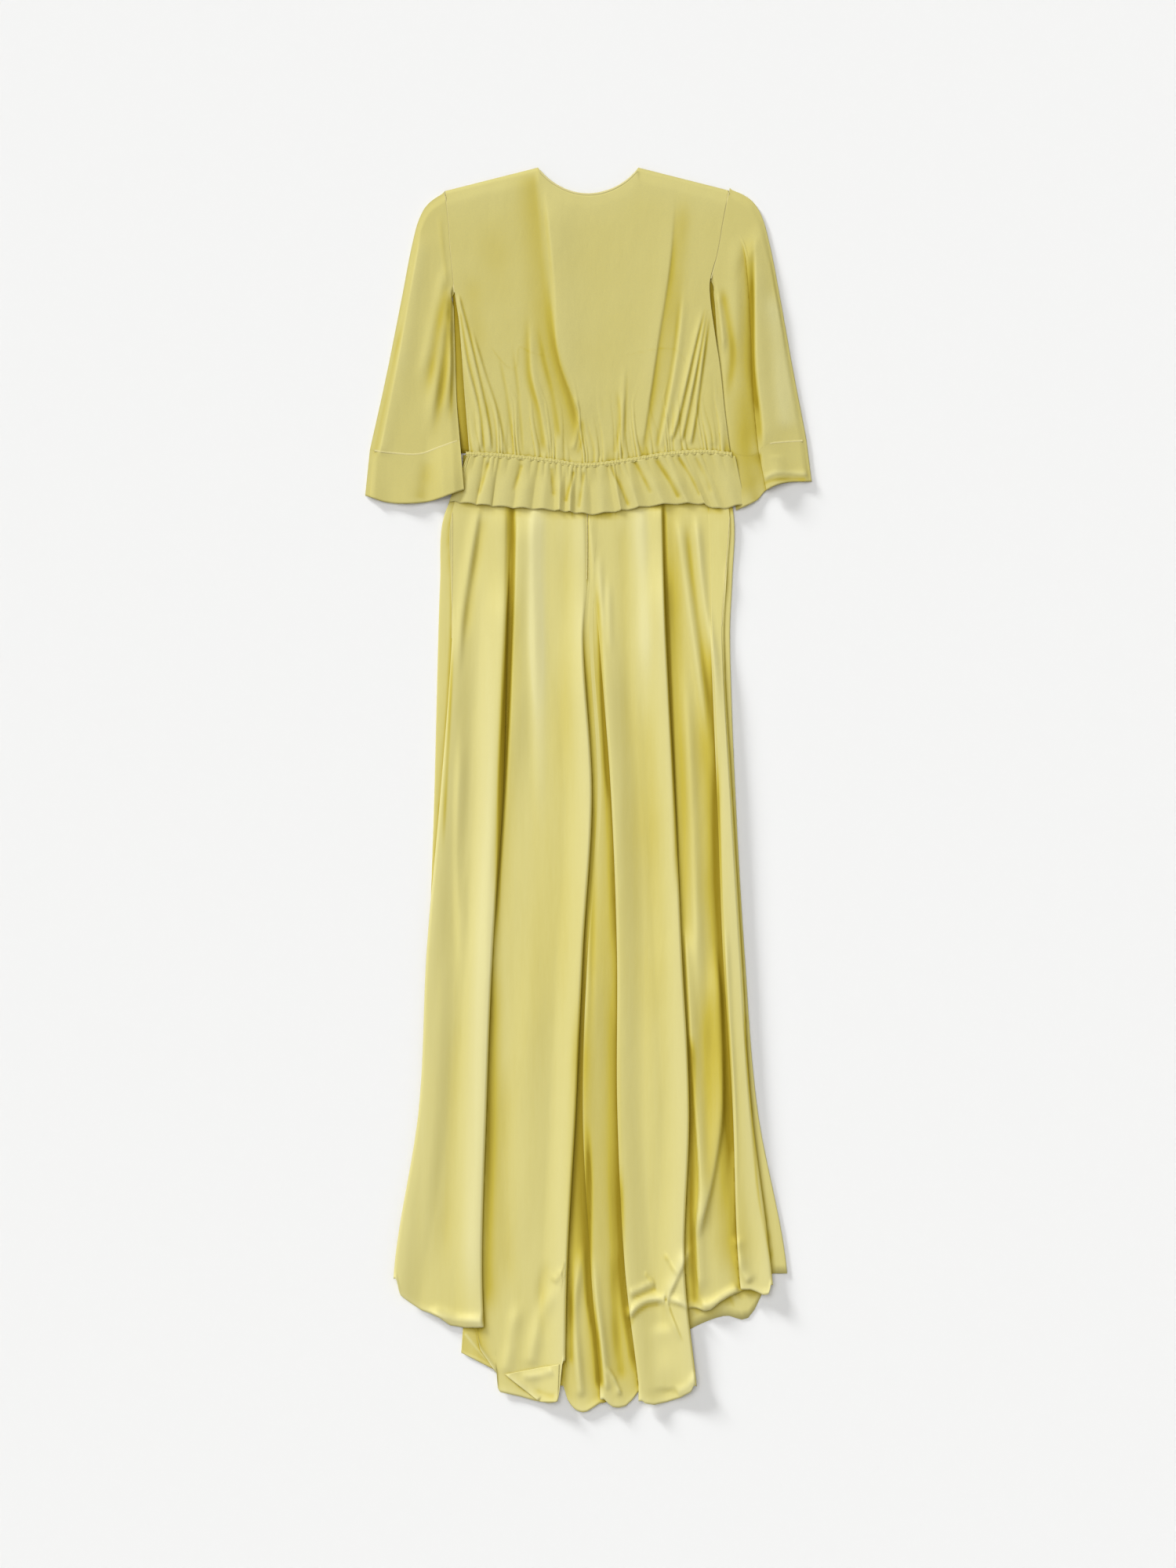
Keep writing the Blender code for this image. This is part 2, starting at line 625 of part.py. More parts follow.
def gather_height(u, drop):
    """The height of the small gathers that the waist casing draws in, which fade out upwards."""
    count = u * GATHERS
    index = math.floor(count)
    uneven = GATHER_LENGTH_MEAN + GATHER_LENGTH_SWING * math.sin(index * GATHER_LENGTH_TURN)
    length = GATHER_LENGTH * uneven
    fade = 1 - ease((across(WAIST_LINE, 0) - drop) / length)
    return GATHER_HEIGHT * fade * math.sin(math.pi * (count - index)) ** 2


def bodice_back(finish):
    """The sheer back, gathered into the waist casing, with its long soft folds."""
    columns = GATHERS * GATHER_POINTS
    rows = []
    for share in BODICE_ROWS:
        row = []
        for c in range(columns + 1):
            u = c / columns
            spread = GATHER_SPREAD * math.sin(math.pi * min(1.0, share * GATHER_SPREAD_SPEED))
            v = u - spread * math.sin(2 * math.pi * u) / (2 * math.pi)
            x_top = blend(BACK_LEFT_SIDE[0][0], BACK_RIGHT_SIDE[0][0], v) + SEAM_GAP
            top = neck_and_shoulder_drop(x_top)
            x_waist = blend(BACK_LEFT_SIDE[-1][0], BACK_RIGHT_SIDE[-1][0], v)
            bottom = across(WAIST_LINE, x_waist) - CASING_COVER
            drop = blend(top, bottom, share)
            left = down(BACK_LEFT_SIDE, drop) + SEAM_GAP
            right = down(BACK_RIGHT_SIDE, drop) - SEAM_GAP
            x = blend(left, right, v)
            inward = ease(min(x - left, right - x) / SIDE_ROUND_LENGTH)
            lie = BODICE_BACK_Z + inward * (
                gather_height(u, drop) + sum(drape_height(d, x, drop) for d in BODICE_DRAPES)
            )
            from_shoulder = ease((drop - top) / SHOULDER_ROUND_LENGTH)
            on_shoulder = SHOULDER_Z if abs(x_top) > NECK_HALF_WIDTH else NECK_Z
            row.append(place(x, drop, blend(on_shoulder, lie, from_shoulder)))
        rows.append(row)
    cloth("bodice_back", rows, CHIFFON, finish)


def bodice_front(finish):
    """The hidden sheer front: two halves in one cloth, open in a deep V between the neck points."""
    for side, sign in (("left", -1), ("right", 1)):
        outline = FRONT_LEFT_SIDE if sign < 0 else FRONT_RIGHT_SIDE
        rows = []
        for share in BODICE_ROWS:
            row = []
            for c in range(FRONT_COLUMNS + 1):
                u = c / FRONT_COLUMNS
                x_top = blend(sign * NECK_HALF_WIDTH, outline[0][0], u)
                top = SHOULDER_DROP * (abs(x_top) - NECK_HALF_WIDTH) / (SHOULDER_X - NECK_HALF_WIDTH)
                bottom = across(WAIST_LINE, blend(0.0, outline[-1][0], u)) - CASING_COVER
                drop = blend(top, bottom, share)
                opening = NECK_HALF_WIDTH * (1 - ease(drop / FRONT_V_DROP))
                inner = sign * max(opening, SEAM_GAP)
                outer = down(outline, drop) - sign * SEAM_GAP
                row.append(place(blend(inner, outer, u), drop, FLOOR_CHIFFON_Z))
            rows.append(row if sign > 0 else row[::-1])
        cloth("bodice_front_" + side, rows, CHIFFON, finish)


def slip_bodice(finish):
    """The lining's camisole, which shows through the sheer back below its notched top edge."""
    rows = []
    for share in SLIP_ROWS:
        row = []
        for c in range(SLIP_COLUMNS + 1):
            x = blend(SLIP_LEFT_X, SLIP_RIGHT_X, c / SLIP_COLUMNS)
            row.append(place(x, blend(across(SLIP_TOP, x), SLIP_BOTTOM_DROP, share), SLIP_Z))
        rows.append(row)
    cloth("slip_bodice", rows, CHIFFON, finish)


def upper_layer(folds, share, overfold):
    """The (stop, z) pairs of a sleeve's upper layer, from its outer edge at 0 to its inner edge at 1."""

    def height(stop):
        middle = ease(min(stop, 1 - stop) / SLEEVE_ROUND_SHARE)
        raised = sum(
            f.height * ease(share / SLEEVE_FOLD_LEAD)
            * math.exp(-(((stop - blend(f.at_top, f.at_cuff, share)) / f.width) ** 2))
            for f in folds
        )
        return blend(SLEEVE_EDGE_Z, SLEEVE_UPPER_Z + raised, middle)

    if not overfold:
        return [(stop, height(stop)) for stop in SLEEVE_LAYER_STOPS]
    edge, deep = overfold
    formed = ease(deep / FORMED)
    layers = []
    for layer in OVERFOLD_LAYERS:
        tuck = blend(OVERFOLD_LOOSE_TUCK, OVERFOLD_TUCK, deep)
        turn = layer.rounding * blend(OVERFOLD_LOOSE_TURN, OVERFOLD_TURN, formed)
        stop = edge - layer.tucked * tuck + turn
        folded = OVERFOLD_TOP - layer.lowered * OVERFOLD_STEP
        layers.append((stop, blend(height(stop), folded, formed)))
    first, last = layers[0], layers[-1]
    outer = [(stop * first[0], stop) for stop in OUTSIDE_OVERFOLD]
    inner = [(blend(last[0], 1, stop), stop) for stop in INSIDE_OVERFOLD]
    row = []
    for stop, towards in outer:
        row.append((stop, blend(height(stop), first[1], ease(towards))))
    row += rounded(layers, FOLD_PIECES)
    for stop, away in inner:
        row.append((stop, blend(last[1], height(stop), ease(away / OVERFOLD_SETTLES_BY))))
    return row


def sleeve_ring(outer, inner, upper, lift, sign):
    """One ring round a flattened sleeve: its upper layer from the outer to the inner edge, and back."""

    def point(stop, z):
        raised = lift * ease((stop - LIFT_FROM) / (LIFT_TO - LIFT_FROM))
        return place(blend(outer[0], inner[0], stop), blend(outer[1], inner[1], stop), z + raised)

    lower = [point(stop, FLOOR_CHIFFON_Z) for stop in SLEEVE_LAYER_STOPS[-2:0:-1]]
    ring = [point(stop, z) for stop, z in upper] + lower
    return ring if sign > 0 else ring[::-1]


def sleeve(made, finish):
    """A sleeve as a flattened tube from the armhole to the flounce's seam."""
    rows = []
    for n, share in enumerate(SLEEVE_ROWS):
        overfold = (OVERFOLD_AT[n], OVERFOLD_DEEP[n]) if made.overfold else None
        upper = upper_layer(made.folds, share, overfold)
        ring = sleeve_ring(
            travelled(made.outer, share), travelled(made.inner, share), upper,
            made.sleeve_lift[n], made.sign,
        )
        if share == 0:
            ring = [
                place(down(made.armhole, HALF_LENGTH - y) + made.sign * SEAM_GAP * 2, HALF_LENGTH - y, z)
                for x, y, z in ring
            ]
        rows.append(ring)
    cloth("sleeve_" + made.side, rows, CHIFFON, finish, ring=True)


def flounce(made, finish):
    """The deep band sewn to a sleeve's end, slightly flared."""
    start_outer, start_inner = made.outer[-1], made.inner[-1]
    overfold = (OVERFOLD_AT[-1], OVERFOLD_DEEP[-1]) if made.overfold else None
    upper = upper_layer(made.folds, 1, overfold)
    hem_stops = [(p[0] - made.hem[0][0]) / (made.hem[-1][0] - made.hem[0][0]) for p in made.hem]
    rows = []
    for n, share in enumerate(FLOUNCE_ROWS):
        hung = []
        for x, y, z in sleeve_ring(start_outer, start_inner, upper, made.flounce_lift[n], made.sign):
            stop = (x - start_outer[0]) / (start_inner[0] - start_outer[0])
            hem_x = blend(made.hem[0][0], made.hem[-1][0], stop)
            hem_drop = along(hem_stops, [p[1] for p in made.hem], stop)
            start_drop = HALF_LENGTH - y + FLOUNCE_GAP
            hung.append(place(blend(x, hem_x, share), blend(start_drop, hem_drop, share), z))
        rows.append(hung)
    cloth("flounce_" + made.side, rows, CHIFFON, finish, ring=True)


def ruffle_row(share):
    """One row of the waist ruffle's back, from its gathered top at 0 to its hem at 1."""
    row = []
    last = len(RUFFLES) - 1
    for n in range(len(RUFFLES) * RUFFLE_POINTS + 1):
        count = min(n / RUFFLE_POINTS, last + 1)
        index = min(int(count), last)
        wave = RUFFLES[index]
        before = RUFFLES[index - 1] if index else Ruffle(RUFFLE_TOP_ENDS[0], RUFFLE_HEM[0][0], 0, 0)
        phase = count - index
        x_top = blend(before.x_top, wave.x_top, phase)
        x_hem = blend(before.x_hem, wave.x_hem, phase)
        if index == last:
            x_top = blend(before.x_top, RUFFLE_TOP_ENDS[1], phase)
            x_hem = blend(before.x_hem, RUFFLE_HEM[-1][0], phase)
        swing = math.sin(2 * math.pi * phase)
        x = blend(x_top, x_hem, share) + wave.lean * RUFFLE_SWING * share * swing
        opened = blend(RUFFLE_SEWN_SHARE, 1, ease(share * RUFFLE_OPENS))
        height = wave.height * opened * math.sin(math.pi * phase) ** 2
        top_drop = across(WAIST_LINE, x_top) + RUFFLE_TOP_INSET
        drop = blend(top_drop, across(RUFFLE_HEM, x_hem), share)
        row.append(place(x, drop, blend(RUFFLE_TOP_Z, RUFFLE_Z, ease(share * RUFFLE_RISES)) + height))
    return row


def ruffle(finish):
    """The waist ruffle: the full gathered back and the plain hidden front."""
    cloth("ruffle_back", [ruffle_row(share) for share in RUFFLE_ROWS], CHIFFON, finish)
    rows = []
    for share in (0, 0.5, 1):
        ends = [blend(a, b, share) for a, b in zip(RUFFLE_FRONT_TOP_ENDS, RUFFLE_FRONT_HEM_ENDS)]
        row = []
        for c in range(RUFFLE_FRONT_COLUMNS + 1):
            x = blend(*ends, c / RUFFLE_FRONT_COLUMNS)
            top = across(WAIST_LINE, x) + RUFFLE_TOP_INSET
            hem = across(RUFFLE_HEM, x) - RUFFLE_FRONT_SHORTER
            row.append(place(x, blend(top, hem, share), FLOOR_CHIFFON_Z))
        rows.append(row)
    cloth("ruffle_front", rows, CHIFFON, finish)


def waist_casing(finish):
    """The narrow stitched casing that draws in the waist, over the bodice's and ruffle's edges."""
    rows = []
    for share in (0, 0.5, 1):
        row = []
        for c in range(CASING_COLUMNS + 1):
            x = blend(*CASING_ENDS, c / CASING_COLUMNS)
            drop = across(WAIST_LINE, x) + (share - 0.5) * CASING_WIDTH
            row.append(place(x, drop, CASING_Z + CASING_CROWN * math.sin(math.pi * share)))
        rows.append(row)
    cloth("waist_casing", rows, CASING_THICKNESS, finish)


def main():
    """Builds every sewn piece of the dress."""
    for old in list(bpy.data.objects):
        bpy.data.objects.remove(old)
    home = bpy.data.collections.new(COLLECTION)
    bpy.context.scene.collection.children.link(home)
    satin = material("yellow_satin", YELLOW_SATIN, 0.35)
    chiffon = material("yellow_chiffon", YELLOW_CHIFFON, 0.8)
    skirt_front(satin)
    skirt_back(satin)
    bodice_front(chiffon)
    slip_bodice(satin)
    bodice_back(chiffon)
    for made in SLEEVES:
        sleeve(made, chiffon)
        flounce(made, chiffon)
    ruffle(chiffon)
    waist_casing(chiffon)


main()
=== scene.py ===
"""Looks of the maxi dress laid flat with its back up: satin skirt, sheer bodice, sleeves and waist ruffle.

Places are given as a maker measures them: x across from the centre line, and drop, the distance down
from the neck points. z is the height above the surface that the dress lies on. All are in metres, but
for what outline, metres, creased_by, folded and waved turn into metres, which is in millimetres.
"""

import logging
import math
from dataclasses import dataclass, field
from enum import Enum
from typing import Any, Callable, Optional, Sequence, Union

import bpy
import numpy as np
from mathutils.bvhtree import BVHTree
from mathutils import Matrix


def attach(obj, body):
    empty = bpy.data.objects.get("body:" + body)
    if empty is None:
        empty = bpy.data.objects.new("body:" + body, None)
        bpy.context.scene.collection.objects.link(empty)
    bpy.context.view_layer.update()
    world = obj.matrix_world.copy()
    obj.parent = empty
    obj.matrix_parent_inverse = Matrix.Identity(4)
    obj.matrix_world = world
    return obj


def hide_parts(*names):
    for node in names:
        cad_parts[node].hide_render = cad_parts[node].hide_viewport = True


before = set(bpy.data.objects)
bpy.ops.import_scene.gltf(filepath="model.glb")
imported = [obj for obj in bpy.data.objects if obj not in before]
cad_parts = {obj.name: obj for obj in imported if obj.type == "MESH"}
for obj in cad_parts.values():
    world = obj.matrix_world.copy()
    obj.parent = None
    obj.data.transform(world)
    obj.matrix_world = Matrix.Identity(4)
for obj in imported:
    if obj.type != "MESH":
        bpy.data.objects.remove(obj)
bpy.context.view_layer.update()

logging.basicConfig(level=logging.INFO, format="%(message)s")
LOG = logging.getLogger("maxi_dress")

Pair = tuple[float, float]
Triple = tuple[float, float, float]
Sizes = tuple[float, ...]
Line = tuple[Pair, ...]
Array = np.ndarray
Arrays = tuple[Array, Array]
Number = Union[float, "Channel"]

HALF_LENGTH = 1.587 / 2
WAIST_DROP = 0.386
WALL = 0.0004
MILLIMETRES = 1000
PERCENT = 100
CURVE_PIECES = 8
SEAM_PIECES = 24
WAVE_TEXTURE_RATE = 20
# The point attribute that carries the painted shade and painted highlights baked into the cloths' colour.
PAINTED_FOLD_SHADE = "painted_fold_shade"


# Curves and surfaces


def ease(share: Any) -> Any:
    """A smooth step from 0 to 1, for a number or an array."""
    share = np.clip(share, 0.0, 1.0)
    return share * share * (3 - 2 * share)


def ramp(at: Any, ends: Pair) -> Any:
    """A smooth step from 0 at the first end to 1 at the second."""
    return ease((at - ends[0]) / (ends[1] - ends[0]))


def blend(a: Any, b: Any, share: Any) -> Any:
    """The value between a and b at that share of the way."""
    return a + (b - a) * share


def along(stops: Sequence[float], values: Sequence[float], at: Any) -> Any:
    """A smooth curve through values at rising stops, level beyond both ends.

    Args:
        stops: The places at which values are known, rising.
        values: The curve's values there.
        at: Where the curve is asked for, a number or an array.

    Returns:
        The curve's values at those places.
    """
    stops, values = np.asarray(stops, float), np.asarray(values, float)
    slopes = np.gradient(values, stops)
    slopes[1:-1] = (values[2:] - values[:-2]) / (stops[2:] - stops[:-2])
    at = np.clip(at, stops[0], stops[-1])
    k = np.clip(np.searchsorted(stops, at, side="right") - 1, 0, len(stops) - 2)
    length = stops[k + 1] - stops[k]
    s = (at - stops[k]) / length
    return (
        values[k] * (1 + 2 * s) * (1 - s) ** 2
        + slopes[k] * length * s * (1 - s) ** 2
        + values[k + 1] * (3 - 2 * s) * s**2
        - slopes[k + 1] * length * s**2 * (1 - s)
    )


def across(line: Sequence[Pair], x: Any) -> Any:
    """The drop of a line of (x, drop) pairs at x."""
    return along([p[0] for p in line], [p[1] for p in line], x)


def down(line: Sequence[Pair], drop: Any) -> Any:
    """The x of an outline of (x, drop) pairs at that drop."""
    return along([p[1] for p in line], [p[0] for p in line], drop)


def travelled(line: Sequence[Pair], shares: Any) -> tuple[Any, Any]:
    """The x and drop at those shares of an outline's length.

    Args:
        line: The outline as (x, drop) pairs.
        shares: Shares of its length, from 0 to 1.

    Returns:
        The x values and the drops.
    """
    points = np.asarray(line, float)
    lengths = lengths_of(points)
    at = np.asarray(shares) * lengths[-1]
    return along(lengths, points[:, 0], at), along(lengths, points[:, 1], at)


def rounded(knots: Array, pieces: int) -> Array:
    """A smooth run of points through knots, along the second axis.

    Args:
        knots: An array of rows, knots and coordinates.
        pieces: How many pieces lie between two knots.

    Returns:
        The array with the smooth run in place of the knots.
    """
    last = knots.shape[1] - 1
    run = []
    for k in range(last):
        a, b, c, d = (knots[:, min(max(n, 0), last)] for n in (k - 1, k, k + 1, k + 2))
        for n in range(pieces):
            s = n / pieces
            run.append(0.5 * (2 * b + (c - a) * s + (2 * a - 5 * b + 4 * c - d) * s**2
                              + (3 * b - a - 3 * c + d) * s**3))
    run.append(knots[:, last])
    return np.stack(run, axis=1)


def waves(level: Any, at: Any, *rows: Triple) -> Any:
    """A level with sine waves on it: each row has a wave's size, its rate and its start."""
    return sum((size * np.sin(at * rate + start) for size, rate, start in rows), level)


def lengths_of(points: Array) -> Array:
    """How far along a line each of its points lies."""
    return np.concatenate([[0], np.cumsum(np.linalg.norm(np.diff(points, axis=0), axis=1))])


def pinked(height: float, length: float, at: Any) -> Any:
    """How far a pinked edge stands out: teeth of that height and length."""
    return height * (0.5 - np.abs((at / length) % 1 - 0.5))


def metres(*sizes: float) -> Sizes:
    """Sizes in metres, from millimetres."""
    return tuple(size / MILLIMETRES for size in sizes)


def from_percent(*parts: float) -> Sizes:
    """Shares of 1, from percent."""
    return tuple(part / PERCENT for part in parts)


def outline(*numbers: float) -> Line:
    """A line's places in metres, from x and drop in turn in millimetres."""
    sizes = metres(*numbers)
    return tuple(zip(sizes[::2], sizes[1::2]))


def spans(shape: tuple[int, int]) -> Arrays:
    """Shares from 0 to 1 for a grid of that many rows and columns: down it and across it."""
    return np.linspace(0, 1, shape[0])[:, None], np.linspace(0, 1, shape[1])[None]


def points_of(x: Any, drop: Any, z: Any) -> Array:
    """Points of the frame at x, drop and z, as one array."""
    x, drop, z = np.broadcast_arrays(x, drop, z)
    return np.stack([x, HALF_LENGTH - drop, z], axis=-1).astype(float)


WAIST_LINE = outline(-162, 365, -110, 368, -50, 374, -5, 380, 50, 374, 100, 366, 150, 363, 188, 367)


@dataclass(frozen=True)
class Crease:
    """A soft ridge (rise above 0) or trough of cloth along a line, uneven in height, with two unlike sides.

    left and right are its half widths; fade_in and fade_out the shares of its length over which it grows
    and dies. tone deepens the cloth's colour along it, mostly as painted shade in its hollow, and lightens
    it as a painted highlight where it is below 0. It acts as far as reach times its half width.
    """

    name: str
    line: Line
    rise: float
    left: float
    right: float
    fade_in: float
    fade_out: float
    tone: float
    uneven: float = 0.18
    waviness: int = 9
    reach: float = 3.0

    def profile(self, x: Array, drop: Array) -> Array:
        """How strongly the crease acts.

        Args:
            x: The cloth's x.
            drop: The cloth's drops, of the same shape.

        Returns:
            The strength at each place, about 1 on the crease's line.
        """
        run = rounded(np.asarray(self.line, float)[None], CURVE_PIECES)[0]
        reach = self.reach * max(self.left, self.right)
        strength = np.zeros(x.shape)
        near = (
            (x > run[:, 0].min() - reach) & (x < run[:, 0].max() + reach)
            & (drop > run[:, 1].min() - reach) & (drop < run[:, 1].max() + reach)
        )
        if not near.any():
            return strength
        px, pd = x[near], drop[near]
        best = np.full(px.shape, np.inf)
        side, share = np.zeros(px.shape), np.zeros(px.shape)
        lengths = np.linalg.norm(np.diff(run, axis=0), axis=1)
        total = lengths.sum()
        start = 0.0
        for (ax, ad), (bx, bd), length in zip(run, run[1:], lengths):
            ux, ud = (bx - ax) / length, (bd - ad) / length
            t = np.clip((px - ax) * ux + (pd - ad) * ud, 0, length)
            dx, dd = px - ax - t * ux, pd - ad - t * ud
            distance = np.hypot(dx, dd)
            closer = distance < best
            best = np.where(closer, distance, best)
            side = np.where(closer, dx * ud - dd * ux, side)
            share = np.where(closer, (start + t) / total, share)
            start += length
        shape = np.exp(-((best / np.where(side < 0, self.left, self.right)) ** 2))
        taper = ease(share / self.fade_in) * ease((1 - share) / self.fade_out)
        seed = sum(map(ord, self.name)) % 7
        strength[near] = shape * taper * waves(1, share, (self.uneven, self.waviness + seed, seed))
        return strength


def creased_by(*rows: tuple[Any, ...]) -> tuple[Crease, ...]:
    """Creases from rows in millimetres and in percent.

    Args:
        rows: For each crease its name; in millimetres its line as x and drop in turn, its rise, and its
            left and right half widths; in percent the shares over which it fades in and out, and its tone,
            mostly painted shade, and painted highlight where below 0.

    Returns:
        The creases.
    """
    return tuple(
        Crease(name, outline(*line), *metres(rise, left, right), *from_percent(*rest))
        for name, line, rise, left, right, *rest in rows
    )


def relief(creases: Sequence[Crease], x: Array, drop: Array) -> Arrays:
    """The summed rise and the summed tone of several creases.

    Args:
        creases: The creases.
        x: The cloth's x.
        drop: The cloth's drops, of the same shape.

    Returns:
        The rise and the tone, mostly painted shade and painted highlight, at each place.
    """
    rise, tone = np.zeros(x.shape), np.zeros(x.shape)
    for crease in creases:
        strength = crease.profile(x, drop)
        rise += crease.rise * strength
        tone += crease.tone * strength
    return rise, tone


# Finishes


class Channel:
    """A socket of a material's nodes, with the arithmetic of numbers."""

    def __init__(self, nodes: "NodeBench", socket: Any) -> None:
        """Wraps a socket.

        Args:
            nodes: The bench that the arithmetic adds its nodes to.
            socket: The output socket.
        """
        self.nodes = nodes
        self.socket = socket

    def _math(self, operation: str, a: Number, b: Number) -> "Channel":
        """The result of one Math node on a and b."""
        return self.nodes.add("ShaderNodeMath", {"operation": operation}, {0: a, 1: b})

    def __add__(self, other: Number) -> "Channel":
        """This plus other."""
        return self._math("ADD", self, other)

    __radd__ = __add__

    def __mul__(self, other: Number) -> "Channel":
        """This times other."""
        return self._math("MULTIPLY", self, other)

    __rmul__ = __mul__

    def __sub__(self, other: Number) -> "Channel":
        """This less other."""
        return self._math("SUBTRACT", self, other)

    def __rsub__(self, other: Number) -> "Channel":
        """Other less this."""
        return self._math("SUBTRACT", other, self)


class NodeBench:
    """The nodes of one material."""

    def __init__(self, name: str) -> None:
        """Makes the material with its bare output.

        Args:
            name: The material's name.
        """
        self.material = bpy.data.materials.new(name)
        self.material.use_nodes = True
        self.tree = self.material.node_tree
        self.tree.nodes.clear()
        self.output = self.tree.nodes.new("ShaderNodeOutputMaterial")

    def add(self, kind: str, settings: Optional[dict[str, Any]] = None,
            inputs: Optional[dict[Any, Any]] = None, out: Any = 0) -> Channel:
        """Adds a node.

        Args:
            kind: The node's type.
            settings: Its own settings, which are set first.
            inputs: Values or links of its sockets, by name or number.
            out: The output that is returned, by name or number.

        Returns:
            That output.
        """
        node = self.tree.nodes.new(kind)
        for key, value in (settings or {}).items():
            setattr(node, key, value)
        for key, value in (inputs or {}).items():
            if isinstance(value, Channel):
                self.tree.links.new(value.socket, node.inputs[key])
            elif value is not None:
                node.inputs[key].default_value = value
        return Channel(self, node.outputs[out])

    def noise(self, grain: "Grain") -> Channel:
        """Noise over the object's own places.

        Args:
            grain: Its lumps.

        Returns:
            The noise, about 0.5 in the middle.
        """
        place = self.add("ShaderNodeTexCoord", out="Object")
        moved = self.add("ShaderNodeMapping", inputs={"Vector": place, "Scale": grain.stretch})
        return self.add("ShaderNodeTexNoise", inputs={"Vector": moved, "Scale": grain.scale,
                                                      "Detail": grain.detail})

    def weave(self, pitch: float) -> Channel:
        """The crossing threads of a plain weave.

        Args:
            pitch: The distance between threads in metres.

        Returns:
            The height of the threads, from 0 to 1.
        """
        place = self.add("ShaderNodeTexCoord", out="Object")
        scale = math.tau / (WAVE_TEXTURE_RATE * pitch)
        threads = [
            self.add("ShaderNodeTexWave", {"bands_direction": axis},
                     {"Vector": place, "Scale": scale, "Distortion": 0.6, "Detail": 1.0})
            for axis in ("X", "Y")
        ]
        return threads[0] * threads[1]

    def painted_fold_shade(self) -> Channel:
        """The painted shade baked on the cloth, from -1, a painted highlight on a crest, to 2, dark painted
        shade in a slot.
        """
        return self.add("ShaderNodeAttribute", {"attribute_name": PAINTED_FOLD_SHADE}, out="Fac")

    def cloth_colour(self, tones: "Tones", variation: Channel) -> Channel:
        """The cloth's colour, with painted shade in its folds and slots and a painted highlight on its
        crests.

        Args:
            tones: The cloth's colours.
            variation: A slight change over the surface, about 0.

        Returns:
            The colour.
        """
        depth = self.painted_fold_shade() + variation
        base = self.shift_colour(tones.light, tones.deep, depth)
        slot = self.shift_colour(base, tones.slot, depth - 1.0)
        return self.shift_colour(slot, tones.pale, depth * -1.0)

    def shift_colour(self, a: Any, b: Any, share: Number) -> Channel:
        """The colour between a and b at that share, which is held between 0 and 1."""
        ends = [c if isinstance(c, Channel) else (*c, 1) for c in (a, b)]
        return self.add("ShaderNodeMix", {"data_type": "RGBA"}, {0: share, 6: ends[0], 7: ends[1]}, out=2)

    def bump(self, height: Channel, depth: float, under: Optional[Channel] = None) -> Channel:
        """The normals of a fine relief of that depth in metres, over another one."""
        return self.add("ShaderNodeBump", inputs={"Strength": 1.0, "Distance": depth, "Height": height,
                                                  "Normal": under})

    def finish(self, shader: Channel) -> bpy.types.Material:
        """The material that shows this shader."""
        self.tree.links.new(shader.socket, self.output.inputs["Surface"])
        return self.material


@dataclass(frozen=True)
class Grain:
    """Noise over a cloth: its lumps in a metre, its finer layers, and how the places are scaled first."""

    scale: float
    detail: float = 2.0
    stretch: Triple = (1.0, 1.0, 1.0)


@dataclass(frozen=True)
class Tones:
    """The colours of a cloth: painted highlight on a crest, laid flat, painted shade in a fold and in a
    narrow slot.
    """

    pale: Triple
    light: Triple
    deep: Triple
    slot: Triple


@dataclass(frozen=True)
class Satin:
    """Soft yellow satin with a broad sheen."""

    name: str = "yellow_satin"
    tones: Tones = Tones((0.775, 0.715, 0.345), (0.705, 0.630, 0.235), (0.590, 0.480, 0.070),
                         (0.330, 0.235, 0.012))
    sheen: Sizes = (1.0, 0.93, 0.52, 1.0)
    roughness: float = 0.39
    rougher: float = 0.10
    thread: float = 0.00045
    thread_depth: float = 0.00003
    swell_depth: float = 0.0007
    patches: Grain = Grain(7.0, 2.0, (1.0, 0.35, 1.0))
    slubs: Grain = Grain(420.0, 1.0, (1.0, 0.08, 1.0))
    swells: Grain = Grain(38.0, 2.0, (1.0, 0.3, 1.0))
    streaks: Grain = Grain(70.0, 3.0, (1.0, 0.05, 1.0))
    varied: Triple = (0.20, 0.14, 0.40)
    evened: float = 0.43

    def material(self) -> bpy.types.Material:
        """The satin's material, patchy and streaked in colour and with a slubbed weave.

        Returns:
            The material.
        """
        bench = NodeBench(self.name)
        patches, slubs, streaks = (bench.noise(grain) for grain in (self.patches, self.slubs, self.streaks))
        patchy, slubbed, streaked = self.varied
        variation = patches * patchy + slubs * slubbed + streaks * streaked - self.evened
        swells = bench.bump(bench.noise(self.swells), self.swell_depth)
        return bench.finish(bench.add("ShaderNodeBsdfPrincipled", inputs={
            # Its own patchy colour, with the baked painted fold shade and painted highlights on top.
            "Base Color": bench.cloth_colour(self.tones, variation),
            "Roughness": slubs * self.rougher + self.roughness,
            "Metallic": 0.08,
            "Specular IOR Level": 0.16,
            "Specular Tint": self.sheen,
            "Anisotropic": 0.45,
            "Normal": bench.bump(bench.weave(self.thread) + slubs * 0.5, self.thread_depth, swells),
        }))


